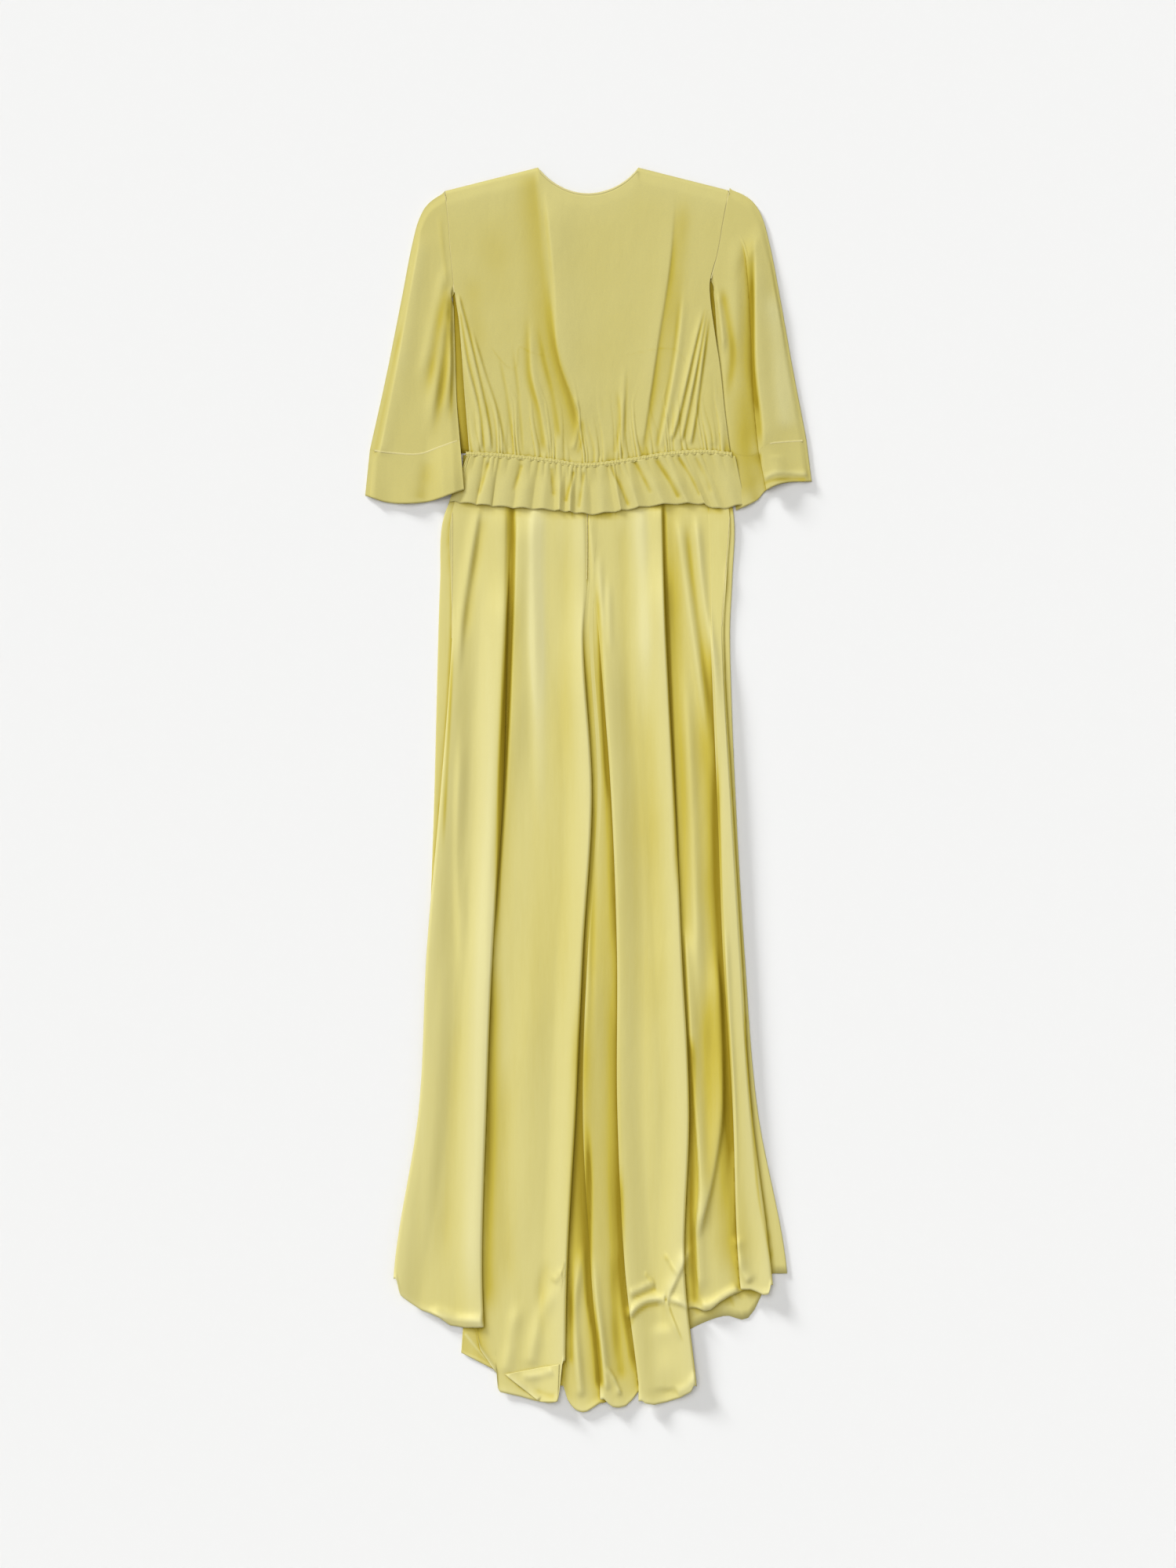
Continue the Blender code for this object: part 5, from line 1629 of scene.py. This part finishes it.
    def slip_grid(self) -> Array:
        """The grid of the slip's top, which shows faintly through the back.

        Returns:
            Rows, columns and coordinates.
        """
        share, u = spans(self.slip_shape)
        x = blend(-self.slip_half_width, self.slip_half_width, u)
        return points_of(x, blend(across(self.slip_top, x), self.slip_end, share), self.slip_z)

    def build(self) -> tuple[Cloth, ...]:
        """Builds the back, the front halves and the slip's top.

        Returns:
            The back and then the others.
        """
        halves = []
        for side, sign in (("left", -1), ("right", 1)):
            half = Cloth(f"bodice_front_{side}_cloth", Finish.CHIFFON)
            # The front halves are darkened throughout as painted shade.
            half.build(self.front_grid(sign), self.inside_shade).fit(f"bodice_front_{side}")
            half.declare(Cut(0.19, 0.38, "laid"), ["floor"])
            halves.append(half)
        slip = Cloth("slip_cloth", Finish.SATIN).build(self.slip_grid()).fit("slip_bodice")
        slip.declare(Cut(0.30, 0.13, "laid"), [half.name for half in halves])
        back = Cloth("bodice_back_cloth", Finish.CHIFFON)
        back.build(*self.back_grid()).fit("bodice_back")
        return back, slip, *halves

    def dress(self, back: Cloth) -> None:
        """Adds the neck binding to the back.

        Args:
            back: The back.
        """
        neck = tuple((x, float(self.top_drop(x)) + self.binding_in)
                     for x in np.linspace(-self.binding_half_width, self.binding_half_width, 15))
        binding = Seam("neck_binding", neck, 0.0026, 0.0003, 0.0001).build(Top(back), Finish.CHIFFON)
        back.declare(Cut(0.42, 0.39, "gathered"), ["slip_cloth"], [binding])


# Sleeves


class Side(Enum):
    """The side of the dress that a sleeve hangs on, as a sign of x."""

    LEFT = -1
    RIGHT = 1


@dataclass
class Sleeve:
    """A wide elbow sleeve and its flounce, each a flattened tube."""

    side: Side
    outer: Line
    inner: Line
    armhole: Line
    hem: Line
    creases: tuple[Crease, ...]
    overfold: bool
    cuff_bend: Line
    sleeve_lift: Sizes
    flounce_lift: Sizes
    rows_at: Sizes = (0, 0.05, 0.12, 0.26, 0.42, 0.58, 0.74, 0.88, 1)
    flounce_at: Sizes = (0, 0.30, 0.65, 1)
    edge_z: float = 0.0019
    upper_z: float = 0.0042
    floor_z: float = 0.0005
    overfold_at: Sizes = (0.33, 0.34, 0.36, 0.41, 0.46, 0.51, 0.55, 0.58, 0.60)
    overfold_deep: Sizes = (0.0, 0.0, 0.06, 0.42, 0.85, 1.0, 1.0, 1.0, 1.0)
    overfold_tuck: float = 0.10
    overfold_turn: float = 0.035
    overfold_top: float = 0.0092
    overfold_step: float = 0.0062
    lift_between: Pair = (0.60, 0.82)
    seam_gap: float = 0.0004
    flounce_gap: float = 0.0001
    pink_height: float = 0.0009
    pink_length: float = 0.0034
    crease_share: float = 0.65
    seam_between: Pair = (0.05, 0.97)
    seam_drop: float = 0.0003
    row_by_seam: float = 0.9992
    rows: int = 96
    row_power: float = 1.2
    flounce_rows: int = 30
    lower_columns: int = 42
    upper_columns: int = 110
    folded_columns: Pair = (44, 50)
    edge_share: float = 0.10
    formed: float = 0.30
    loose_tuck: float = 0.02
    loose_turn: float = 0.01
    inner_share: float = 0.6
    bend_from: float = 0.65
    armhole_share: float = 0.12
    armhole_reach: float = 0.12
    flare: Triple = (0.0012, 15, 1)
    flared_above: float = 0.003

    def creased(self, grid: Array) -> Arrays:
        """Lays the creases into the upper layer of a tube.

        Args:
            grid: The tube's rings.

        Returns:
            The creased rings and the tone at each place, mostly painted shade and painted highlight.
        """
        rise, tone = relief(self.creases, grid[..., 0], HALF_LENGTH - grid[..., 1])
        rise = self.crease_share * rise
        above = ease((grid[..., 2] - self.edge_z) / (self.upper_z - self.edge_z))
        grid[..., 2] += rise * above
        return grid, tone * above

    def upper(self, edge_at: float, deep: float) -> Array:
        """The stops and heights across the sleeve's upper layer.

        Args:
            edge_at: The overfold's place there.
            deep: How far the overfold has formed.

        Returns:
            Pairs of stop and z.
        """
        def height(stop: Any) -> Any:
            return blend(self.edge_z, self.upper_z, ease(np.minimum(stop, 1 - stop) / self.edge_share))

        if not self.overfold:
            stops = 0.5 - 0.5 * np.cos(np.linspace(0, math.pi, self.upper_columns))
            return np.stack([stops, height(stops)], axis=1)
        formed = float(ease(deep / self.formed))
        layers = []
        for tucked, turned, lower in ((0, -1, 0.0), (0, 0, 0.22), (0.5, 0, 0.5), (1, 0, 0.78), (1, 1, 1.0)):
            tuck = blend(-self.loose_tuck, self.overfold_tuck, deep)
            stop = edge_at - tucked * tuck + turned * blend(self.loose_turn, self.overfold_turn, formed)
            folded = self.overfold_top - lower * self.overfold_step
            layers.append((stop, blend(float(height(stop)), folded, formed)))
        (first_stop, first_z), (last_stop, last_z) = layers[0], layers[-1]
        towards, away = (np.linspace(0, 1, count) for count in self.folded_columns)
        towards, away = towards[:-1], away[1:]
        stops = towards * first_stop
        outer = np.stack([stops, blend(height(stops), first_z, formed * ease(towards))], axis=1)
        stops = blend(last_stop, 1, away)
        inner = np.stack([stops, blend(last_z, height(stops), ease(away / self.inner_share))], axis=1)
        return np.concatenate([outer, rounded(np.array(layers)[None], CURVE_PIECES)[0], inner])

    def ring(self, outer: Pair, inner: Pair, upper: Array, lift: float, bent: float) -> Array:
        """One ring round the flattened tube.

        Args:
            outer: The x and drop of its outer edge.
            inner: The x and drop of its inner edge.
            upper: The stops and heights of its upper layer.
            lift: How far its inner edge is lifted.
            bent: The share of the cuff's bend that it follows.

        Returns:
            The ring's points, along the upper layer and back along the lower one.
        """
        lower_stops = 0.5 + 0.5 * np.cos(np.linspace(0, math.pi, self.lower_columns)[1:-1])
        stops = np.concatenate([upper[:, 0], lower_stops])
        raised = lift * ramp(stops, self.lift_between)
        z = np.concatenate([upper[:, 1], np.full(lower_stops.shape, self.floor_z)]) + raised
        bend = bent * along([b[0] for b in self.cuff_bend], [b[1] for b in self.cuff_bend], stops)
        ring = points_of(blend(outer[0], inner[0], stops), blend(outer[1], inner[1], stops) + bend, z)
        return ring if self.side is Side.RIGHT else ring[::-1]

    def sleeve_grid(self) -> Arrays:
        """The grid of the sleeve, from its armhole to the flounce.

        Returns:
            Rings, their points and coordinates, and the tone at each place: painted shade and highlight.
        """
        shares = np.linspace(0, 1, self.rows)[:-1] ** self.row_power
        shares = np.append(shares, (self.row_by_seam, 1.0))
        outer, inner = (np.stack(travelled(line, shares), axis=1) for line in (self.outer, self.inner))
        edge_at = along(self.rows_at, self.overfold_at, shares)
        deep = np.maximum(along(self.rows_at, self.overfold_deep, shares), 0)
        lift = np.maximum(along(self.rows_at, self.sleeve_lift, shares), 0)
        rings = []
        for n, share in enumerate(shares):
            bent = float(ramp(share, (self.bend_from, 1)))
            upper = self.upper(float(edge_at[n]), float(deep[n]))
            ring = self.ring(outer[n], inner[n], upper, float(lift[n]), bent)
            near = 1 - ease(share / self.armhole_share)
            if near > 0:
                armhole = down(self.armhole, HALF_LENGTH - ring[:, 1]) + self.side.value * self.seam_gap
                start = armhole + self.side.value * share * self.armhole_reach
                ring[:, 0] = blend(ring[:, 0], start, near**2)
            rings.append(ring)
        return self.creased(np.stack(rings, axis=0))

    def flounce_grid(self) -> Arrays:
        """The grid of the flounce, with its pinked hem.

        Returns:
            Rings, their points and coordinates, and the tone at each place: painted shade and highlight.
        """
        start_outer, start_inner = self.outer[-1], self.inner[-1]
        upper = self.upper(self.overfold_at[-1], self.overfold_deep[-1])
        hem_x = np.array([p[0] for p in self.hem])
        hem_stops = (hem_x - hem_x[0]) / (hem_x[-1] - hem_x[0])
        shares = np.insert(np.linspace(0, 1, self.flounce_rows), 1, 6 * (1 - self.row_by_seam))
        lift = along(self.flounce_at, self.flounce_lift, shares)
        rings = []
        for n, share in enumerate(shares):
            ring = self.ring(start_outer, start_inner, upper, float(lift[n]), 1.0)
            stop = (ring[:, 0] - start_outer[0]) / (start_inner[0] - start_outer[0])
            x = blend(ring[:, 0], blend(hem_x[0], hem_x[-1], stop), share)
            hem_drop = along(hem_stops, [p[1] for p in self.hem], stop)
            drop = blend(HALF_LENGTH - ring[:, 1] + self.flounce_gap, hem_drop, share)
            if n == len(shares) - 1:
                drop = drop + pinked(self.pink_height, self.pink_length, x)
            flare = share * waves(0, stop, self.flare) * ease(np.minimum(stop, 1 - stop) / self.edge_share)
            rings.append(points_of(x, drop, ring[:, 2] + np.where(ring[:, 2] > self.flared_above, flare, 0)))
        return self.creased(np.stack(rings, axis=0))

    def build(self) -> tuple[Cloth, Cloth]:
        """Builds the two tubes.

        Returns:
            The sleeve and its flounce.
        """
        made = []
        for kind, (grid, tone) in (("sleeve", self.sleeve_grid()), ("flounce", self.flounce_grid())):
            name = f"{kind}_{self.side.name.lower()}"
            made.append(Cloth(f"{name}_cloth", Finish.CHIFFON).build(grid, tone, ring=True).fit(name))
        return made[0], made[1]

    def dress(self, sleeve: Cloth, flounce: Cloth, bodice: Cloth) -> None:
        """Args:
            sleeve: The sleeve.
            flounce: Its flounce.
            bodice: The bodice's back, to which the sleeve is sewn.
        """
        word = self.side.name.lower()
        points = zip(*travelled(self.armhole, np.linspace(0.05, 0.98, 9)))
        line = tuple((x + self.side.value * self.seam_gap / 2, drop) for x, drop in points)
        armhole = Seam(f"armhole_seam_{word}", line, 0.0018, 0.00025, 0.0001, 0.15).build(
            Top(sleeve, bodice), Finish.CHIFFON)
        (ax, ad), (bx, bd) = self.outer[-1], self.inner[-1]
        stops, bends = zip(*self.cuff_bend)
        line = tuple((blend(ax, bx, s), blend(ad, bd, s) + self.seam_drop + float(along(stops, bends, s)))
                     for s in np.linspace(*self.seam_between, 13))
        joint = Seam(f"flounce_seam_{word}", line, 0.0030, 0.0004, 0.0, 0.15).build(
            Top(sleeve, flounce), Finish.CHIFFON)
        sleeve.declare(Cut(0.24, 0.33, "laid"), ["floor"], [armhole])
        flounce.declare(Cut(0.25, 0.07, "laid"), ["floor"], [joint])


LEFT_SLEEVE_CREASES = creased_by(
    # name, line, rise, left, right, fade in, fade out, tone (painted shade, or painted highlight below 0)
    ("rim", (-212, 80, -226, 160, -246, 270, -266, 370), 2.6, 2.2, 12, 10, 5, -25),
    ("outer strip", (-236, 190, -256, 280, -274, 370), -0.6, 4, 3, 20, 5, 60),
    ("fan one", (-178, 150, -186, 220, -198, 300, -206, 350), 4.4, 8, 6, 10, 25, -15),
    ("fan one shade", (-176, 155, -180, 220, -190, 300, -198, 350), -1, 5, 5, 10, 30, 80),
    ("fan two", (-180, 120, -198, 200, -216, 290), 3, 7, 8, 20, 30, -15),
    ("fan two shade", (-178, 135, -192, 210, -207, 300), -0.8, 6, 5, 20, 30, 80),
    ("fan three", (-178, 185, -176, 250, -184, 320), 3.6, 4, 5, 15, 25, -20),
    ("fan three shade", (-174.5, 200, -172.5, 255, -176, 330), -0.8, 3, 3, 15, 25, 80),
    ("armpit shade", (-175, 165, -178, 250, -174, 330), 0, 18, 12, 20, 30, 35),
    ("middle swell", (-214, 110, -226, 200, -240, 320), 1.6, 12, 12, 20, 20, -10),
    ("cuff shade", (-205, 372, -209, 400, -214, 425), -0.6, 8, 8, 20, 10, 40),
    ("shoulder line", (-190, 55, -186, 100, -180, 150), 1.2, 3, 3, 20, 20, 20),
)
LEFT_SLEEVE = Sleeve(
    side=Side.LEFT,
    outer=outline(-183.5, 30, -200, 40, -215, 64, -225, 100, -238.5, 170, -258.5, 270, -278.5, 360),
    inner=outline(-172.2, 160, -171.5, 190, -170, 240, -168, 300, -164, 347),
    armhole=outline(-183, 30, -178.5, 70, -175.5, 110, -170.5, 162),
    hem=outline(-284.5, 418, -255, 427, -222, 428, -196, 424, -158.5, 411),
    creases=LEFT_SLEEVE_CREASES,
    overfold=False,
    cuff_bend=((0.0, 0.0), (0.30, 0.008), (0.55, 0.012), (0.80, 0.006), (1.0, 0.0)),
    sleeve_lift=(0.0, 0.0, 0.0, 0.0, 0.0, 0.0, 0.0, 0.0010, 0.0030),
    flounce_lift=(0.0030, 0.0066, 0.0090, 0.0090),
)
RIGHT_SLEEVE_CREASES = creased_by(
    # name, line, rise, left, right, fade in, fade out, tone (painted shade, or painted highlight below 0)
    ("slot", (208.5, 80, 209, 190, 210, 260, 217.5, 320, 220, 362), -1.2, 15, 2.5, 25, 12, 120),
    ("slot core", (209, 100, 209.5, 190, 210.5, 260, 218.5, 325), 0, 6, 2, 35, 15, 130),
    ("slot bank", (214, 78, 214.5, 190, 216, 260, 223, 320, 224.5, 362), 4, 2.2, 16, 30, 10, -30),
    ("left of the slot", (190, 85, 188, 170, 188, 260), 2.4, 10, 8, 20, 30, -20),
    ("curved trough", (169, 150, 180, 205, 183.5, 245, 176, 300), -1.2, 4.5, 5.5, 15, 25, 110),
    ("curved bank", (162, 160, 170, 205, 173, 240), 3.4, 4, 4, 15, 25, -20),
    ("outer edge line", (229, 105, 242, 180, 254, 250), 1.4, 2.2, 2.6, 20, 40, 30),
    ("outer swell", (233, 150, 243.5, 240, 252, 340), 2, 11, 16, 20, 10, -100),
    ("cuff swell", (238, 365, 242, 400), 1.6, 8, 10, 20, 10, -10),
    ("cuff slot", (218, 362, 219, 400, 220, 428), -1.2, 9, 2, 10, 10, 110),
    ("cuff inside", (221, 405, 240, 398, 280, 398), -0.8, 2.5, 2.5, 10, 10, 90),
    ("cuff lip", (223, 398, 242, 390, 282, 392), 1.6, 2, 4, 10, 10, -50),
    ("inside shade", (193, 270, 197.5, 310, 201, 370, 202.5, 425), 0, 16, 12, 30, 15, 85),
)
RIGHT_SLEEVE = Sleeve(
    side=Side.RIGHT,
    outer=outline(181, 26, 201, 35, 219, 58, 231, 98, 245, 170, 261, 260, 278, 352),
    inner=outline(157.5, 144, 161.8, 180, 164, 220, 166.5, 260, 169, 308, 176.5, 352),
    armhole=outline(180, 26, 171.5, 70, 164.5, 110, 155.5, 144),
    hem=outline(284.5, 400, 250, 402, 226, 412, 215, 424, 188.5, 437),
    creases=RIGHT_SLEEVE_CREASES,
    overfold=True,
    cuff_bend=((0.0, -0.004), (0.30, -0.002), (0.52, 0.002), (0.64, 0.014), (0.80, 0.015), (1.0, 0.010)),
    seam_between=(0.05, 0.46),
    sleeve_lift=(0.0,) * 9,
    flounce_lift=(0.0,) * 4,
)


# Waist


@dataclass(frozen=True)
class Wave:
    """A wave of the waist ruffle: x at its sewn top and at its hem, its height and its lean."""

    x_top: float
    x_hem: float
    height: float
    lean: float


def waved(*rows: tuple[float, float, float, float]) -> tuple[Wave, ...]:
    """Waves from rows of both x and the height in millimetres, and the lean."""
    return tuple(Wave(*metres(*sizes), lean) for *sizes, lean in rows)


WAIST_CREASES = creased_by(
    # name, line, rise, left, right, fade in, fade out, tone (painted shade in the pleat lines)
    ("pleat one", (-127, 374, -134, 400, -140, 420), -1, 3, 2, 10, 20, 70),
    ("pleat two", (-84, 378, -90, 396, -96, 415), -1, 3, 2, 10, 20, 60),
    ("pleat three", (-47, 382, -46, 402, -44, 422), -1, 2, 3, 10, 20, 70),
    ("pleat four", (-18, 386, -24, 408, -29, 428), -1, 3, 2, 10, 10, 100),
    ("pleat five", (-5, 386, -9, 412, -12, 436), -1, 3, 2, 10, 10, 80),
    ("pleat six", (26, 378, 40, 405, 52, 434), -1, 2, 3, 10, 10, 90),
    ("pleat seven", (58, 373, 70, 396, 80, 417), -1, 2, 3, 10, 10, 80),
    ("pleat eight", (84, 371, 102, 398, 116, 424), -1, 2, 4, 10, 10, 110),
    ("pleat nine", (112, 367, 130, 394, 143, 421), -1, 2, 3, 10, 10, 90),
    ("pleat ten", (136, 368, 150, 396, 158, 420), -0.8, 3, 3, 10, 20, 50),
)


@dataclass
class Waist:
    """The waist: the full ruffle with its pinked hem, its plain front, and the stitched casing."""

    hem: Line = outline(-177.5, 426.5, -148, 430, -107, 434, -42, 438, 5, 443, 30, 440,
        92, 431, 145, 430, 165, 436, 200.5, 430)
    waves: tuple[Wave, ...] = waved(
        # x at the top, x at the hem, height, lean
        (-150, -164, 1, 0), (-131, -143, 4, -0.5), (-114, -123, 5.6, -0.8), (-86, -96, 3, -0.4),
        (-64, -72, 5.2, -0.3), (-43, -44, 4.6, 0.5), (-29, -30, 6.6, 0.4), (-16, -17, 7, 0.3),
        (1, 4, 4.4, 0.2), (24, 33, 4, 0.5), (36, 50, 6.2, 0.7), (56, 77, 7, 0.9), (82, 113, 8, 0.9),
        (110, 140, 7.6, 0.9), (128, 157, 5, 0.7), (147, 175, 3.6, 0.5), (187, 200.5, 3, 0.3),
    )
    creases: tuple[Crease, ...] = WAIST_CREASES
    start: Pair = (-0.1540, -0.1775)
    fullness: float = 0.62
    wave_columns: int = 26
    rows: int = 34
    top_z: float = 0.0066
    flat_z: float = 0.0060
    end_fall: float = 0.0016
    inset: float = 0.0012
    pink_height: float = 0.0011
    pink_length: float = 0.0032
    casing_ends: Pair = (-0.1560, 0.1830)
    casing_width: float = 0.0058
    casing_z: float = 0.0076
    casing_shape: tuple[int, int] = (12, 420)
    casing_arch: float = 0.0007
    channels: Pair = (0.25, 0.75)
    channel_depth: float = 0.0005
    channel_width: float = 0.07
    pucker_height: float = 0.00035
    edge_wander: float = 0.0005
    stitch_rows: Pair = (-0.0016, 0.0016)
    stitch_inset: float = 0.002
    leaning: float = 0.0032
    crest_power: float = 1.3
    crest_short: float = 0.0018
    grown_at_top: float = 0.12
    grown_by: float = 0.625
    gathers_end: float = 0.5
    gather_height: float = 0.0012
    # Painted shade between the small gathers near the top and painted highlight on the waves' crests;
    # hem_tone makes the ruffle paler towards its hem.
    gather_shade: float = 0.35
    wave_crest_highlight: float = -0.25
    hem_tone: float = -0.15
    end_from: float = 0.020
    end_length: float = 0.016
    front_shape: tuple[int, int] = (12, 60)
    front_sides: tuple[Pair, Pair] = ((-0.1600, -0.1620), (0.1740, 0.1850))
    front_short: float = 0.004
    front_z: float = 0.0005

    def ruffle_grid(self) -> Arrays:
        """The grid of the full ruffle.

        Returns:
            Rows, columns and coordinates, and the tone at each place: painted shade and highlight, paler
            towards the hem.
        """
        count = len(self.waves)
        n = np.linspace(0, count, count * self.wave_columns + 1)
        index = np.minimum(n.astype(int), count - 1)
        phase = n - index
        tops = np.array([self.start[0]] + [w.x_top for w in self.waves])
        hems = np.array([self.start[1]] + [w.x_hem for w in self.waves])
        height = np.array([w.height for w in self.waves])[index]
        lean = np.array([w.lean for w in self.waves])[index]
        x_top, x_hem = (blend(xs[index], xs[index + 1], phase) for xs in (tops, hems))
        share = np.linspace(0, 1, self.rows)[:, None]
        x = blend(x_top, x_hem, share) + lean * self.leaning * share * np.sin(2 * math.pi * phase)
        crest = np.abs(np.sin(math.pi * phase)) ** self.crest_power
        grown = blend(self.grown_at_top, 1, ease(share / self.grown_by))
        near_top = 1 - ease(share / self.gathers_end)
        small = np.abs(np.sin(n * 7.0 + np.sin(n * 2.3))) * near_top
        drop = blend(across(WAIST_LINE, x_top) + self.inset, across(self.hem, x_hem), share)
        drop = drop + np.where(share == 1, pinked(self.pink_height, self.pink_length, x_hem), 0)
        drop = drop - self.crest_short * share * crest
        creased, tone = relief(self.creases, x, drop)
        end = self.end_fall * share * ease((x_hem - self.hem[-1][0] + self.end_from) / self.end_length)
        z = blend(self.top_z, self.flat_z, ease(share * 3)) + self.fullness * height * grown * crest
        z = z + self.gather_height * small + creased - end
        # Painted shade between the small gathers and painted highlight on the crests.
        tone = tone + self.gather_shade * (1 - small) * near_top
        return points_of(x, drop, z), tone + self.wave_crest_highlight * crest + self.hem_tone * share

    def ruffle_front_grid(self) -> Array:
        """The grid of the ruffle's plain front.

        Returns:
            Rows, columns and coordinates.
        """
        share, u = spans(self.front_shape)
        (top_left, hem_left), (top_right, hem_right) = self.front_sides
        x = blend(blend(top_left, hem_left, share), blend(top_right, hem_right, share), u)
        drop = blend(across(WAIST_LINE, x) + self.inset, across(self.hem, x) - self.front_short, share)
        return points_of(x, drop, self.front_z)

    def casing_grid(self) -> Array:
        """The grid of the narrow puckered casing, with its two stitched channels.

        Returns:
            Rows, columns and coordinates.
        """
        share, u = spans(self.casing_shape)
        x = blend(*self.casing_ends, u)
        arch = np.sin(math.pi * share)
        z = self.casing_z + self.casing_arch * arch
        for at in self.channels:
            z = z - self.channel_depth * np.exp(-(((share - at) / self.channel_width) ** 2))
        z = z + self.pucker_height * np.sin(x * 1500 + 2 * np.sin(x * 170)) * arch
        edge = self.edge_wander * np.sin(x * 900 + 1.5 * np.sin(x * 210)) * (2 * share - 1)
        return points_of(x, across(WAIST_LINE, x) + (share - 0.5) * self.casing_width + edge, z)

    def build(self) -> tuple[Cloth, Cloth, Cloth]:
        """Builds the waist's pieces.

        Returns:
            The ruffle's front, its back and the casing.
        """
        front, back, casing = (Cloth(f"{name}_cloth", Finish.CHIFFON)
                               for name in ("ruffle_front", "ruffle_back", "casing"))
        front.build(self.ruffle_front_grid())
        back.build(*self.ruffle_grid())
        casing.build(self.casing_grid())
        return front.fit("ruffle_front"), back.fit("ruffle_back"), casing.fit("waist_casing")

    def dress(self, front: Cloth, back: Cloth, casing: Cloth) -> None:
        """Args:
            front: The ruffle's front.
            back: The ruffle's back.
            casing: The casing.
        """
        start, end = self.casing_ends
        xs = np.linspace(start + self.stitch_inset, end - self.stitch_inset, 25)
        stitches = []
        for word, offset in zip(("upper", "lower"), self.stitch_rows):
            line = tuple((float(x), float(across(WAIST_LINE, x)) + offset) for x in xs)
            row = Seam(f"casing_stitches_{word}", line, 0.0007, 0.0004, 0.0002, 0.0, 0.0016, 700)
            stitches.append(row.build(Top(casing), Finish.CHIFFON))
        front.declare(Cut(0.37, 0.07, "laid"), ["floor"])
        back.declare(Cut(0.62, 0.07, "gathered"), ["skirt_left_cloth"])
        casing.declare(Cut(0.345, 0.010, "laid", 5), ["bodice_back_cloth"], stitches)


# Studio


class Lit(Enum):
    """What a lamp lights."""

    ALL = "all"
    FLOOR = "INCLUDE"
    DRESS = "EXCLUDE"


@dataclass(frozen=True)
class Lamp:
    """A broad lamp far away: its strength, spread, elevation and the direction it stands in, in degrees.

    A lamp may light the floor alone, or all but the floor.
    """

    name: str
    strength: float
    spread: float
    elevation: float
    towards: float
    lights: Lit = Lit.ALL


@dataclass
class Studio:
    """The pale floor, the soft light from the upper left, and the camera straight above."""

    floor_size: float = 40.0
    floor_z: float = -0.0004
    frame_height: float = 2.0
    camera_height: float = 6.0
    centre: Pair = (-0.0005, 0.0075)
    lens_width: float = 36.0
    sees_to: float = 100.0
    sky: float = 0.385
    sky_colour: Triple = (1.0, 0.985, 0.95)
    lamp_colour: Triple = (0.985, 0.995, 1.0)
    lamps: tuple[Lamp, ...] = (
        Lamp("overhead", 1.17, 46.0, 66.0, 125.0),
        Lamp("low left", 1.85, 22.0, 28.0, 128.0, Lit.DRESS),
        Lamp("floor rake", 4.60, 10.0, 12.0, 132.0, Lit.FLOOR),
    )

    def floor(self) -> bpy.types.Object:
        """Lays the floor.

        Returns:
            The floor.
        """
        half = self.floor_size / 2
        corners = [(a * half, b * half, self.floor_z) for a, b in ((-1, -1), (1, -1), (1, 1), (-1, 1))]
        floor = shaped("floor", corners, [(0, 1, 2, 3)], PaleFloor().material())
        return floor

    def light(self, floor: bpy.types.Object) -> None:
        """Sets the soft sky and the broad lights from the upper left.

        Args:
            floor: The floor, which some lamps light alone or leave out.
        """
        world = bpy.data.worlds.new("studio")
        world.use_nodes = True
        background = world.node_tree.nodes["Background"]
        background.inputs["Color"].default_value = (*self.sky_colour, 1)
        background.inputs["Strength"].default_value = self.sky
        bpy.context.scene.world = world
        for lamp in self.lamps:
            data = bpy.data.lights.new(lamp.name, "SUN")
            data.energy = lamp.strength
            data.angle = math.radians(lamp.spread)
            data.color = self.lamp_colour
            hung = bpy.data.objects.new(lamp.name, data)
            hung.rotation_euler = (0, math.radians(90 - lamp.elevation), math.radians(lamp.towards))
            bpy.context.scene.collection.objects.link(hung)
            if lamp.lights is not Lit.ALL:
                lit = bpy.data.collections.new(f"{lamp.name} lit")
                lit.objects.link(floor)
                lit.collection_objects[0].light_linking.link_state = lamp.lights.value
                hung.light_linking.receiver_collection = lit

    def camera(self) -> None:
        """Hangs the camera straight above the dress."""
        lens = bpy.data.cameras.new("camera")
        lens.sensor_width = self.lens_width
        lens.lens = lens.sensor_width * self.camera_height / self.frame_height
        lens.clip_end = self.sees_to
        camera = bpy.data.objects.new("camera", lens)
        camera.location = (*self.centre, self.camera_height)
        bpy.context.scene.collection.objects.link(camera)
        bpy.context.scene.camera = camera

    def build(self) -> None:
        """Builds the studio."""
        self.light(self.floor())
        self.camera()
        bpy.context.scene.view_settings.view_transform = "Standard"


# The dress


def main() -> None:
    """Builds the dress and the studio."""
    cloths: list[Cloth] = []
    skirt = Skirt()
    skirt_pieces = skirt.build()
    cloths += skirt.dress(*skirt_pieces)
    bodice = Bodice()
    bodice_pieces = bodice.build()
    bodice.dress(bodice_pieces[0])
    cloths += [*skirt_pieces, *bodice_pieces]
    for sleeve in (LEFT_SLEEVE, RIGHT_SLEEVE):
        pieces = sleeve.build()
        sleeve.dress(*pieces, bodice_pieces[0])
        cloths += pieces
    waist = Waist()
    waist_pieces = waist.build()
    waist.dress(*waist_pieces)
    cloths += waist_pieces
    Landscape().settle(cloths)
    Studio().build()


if __name__ == "__main__":
    main()
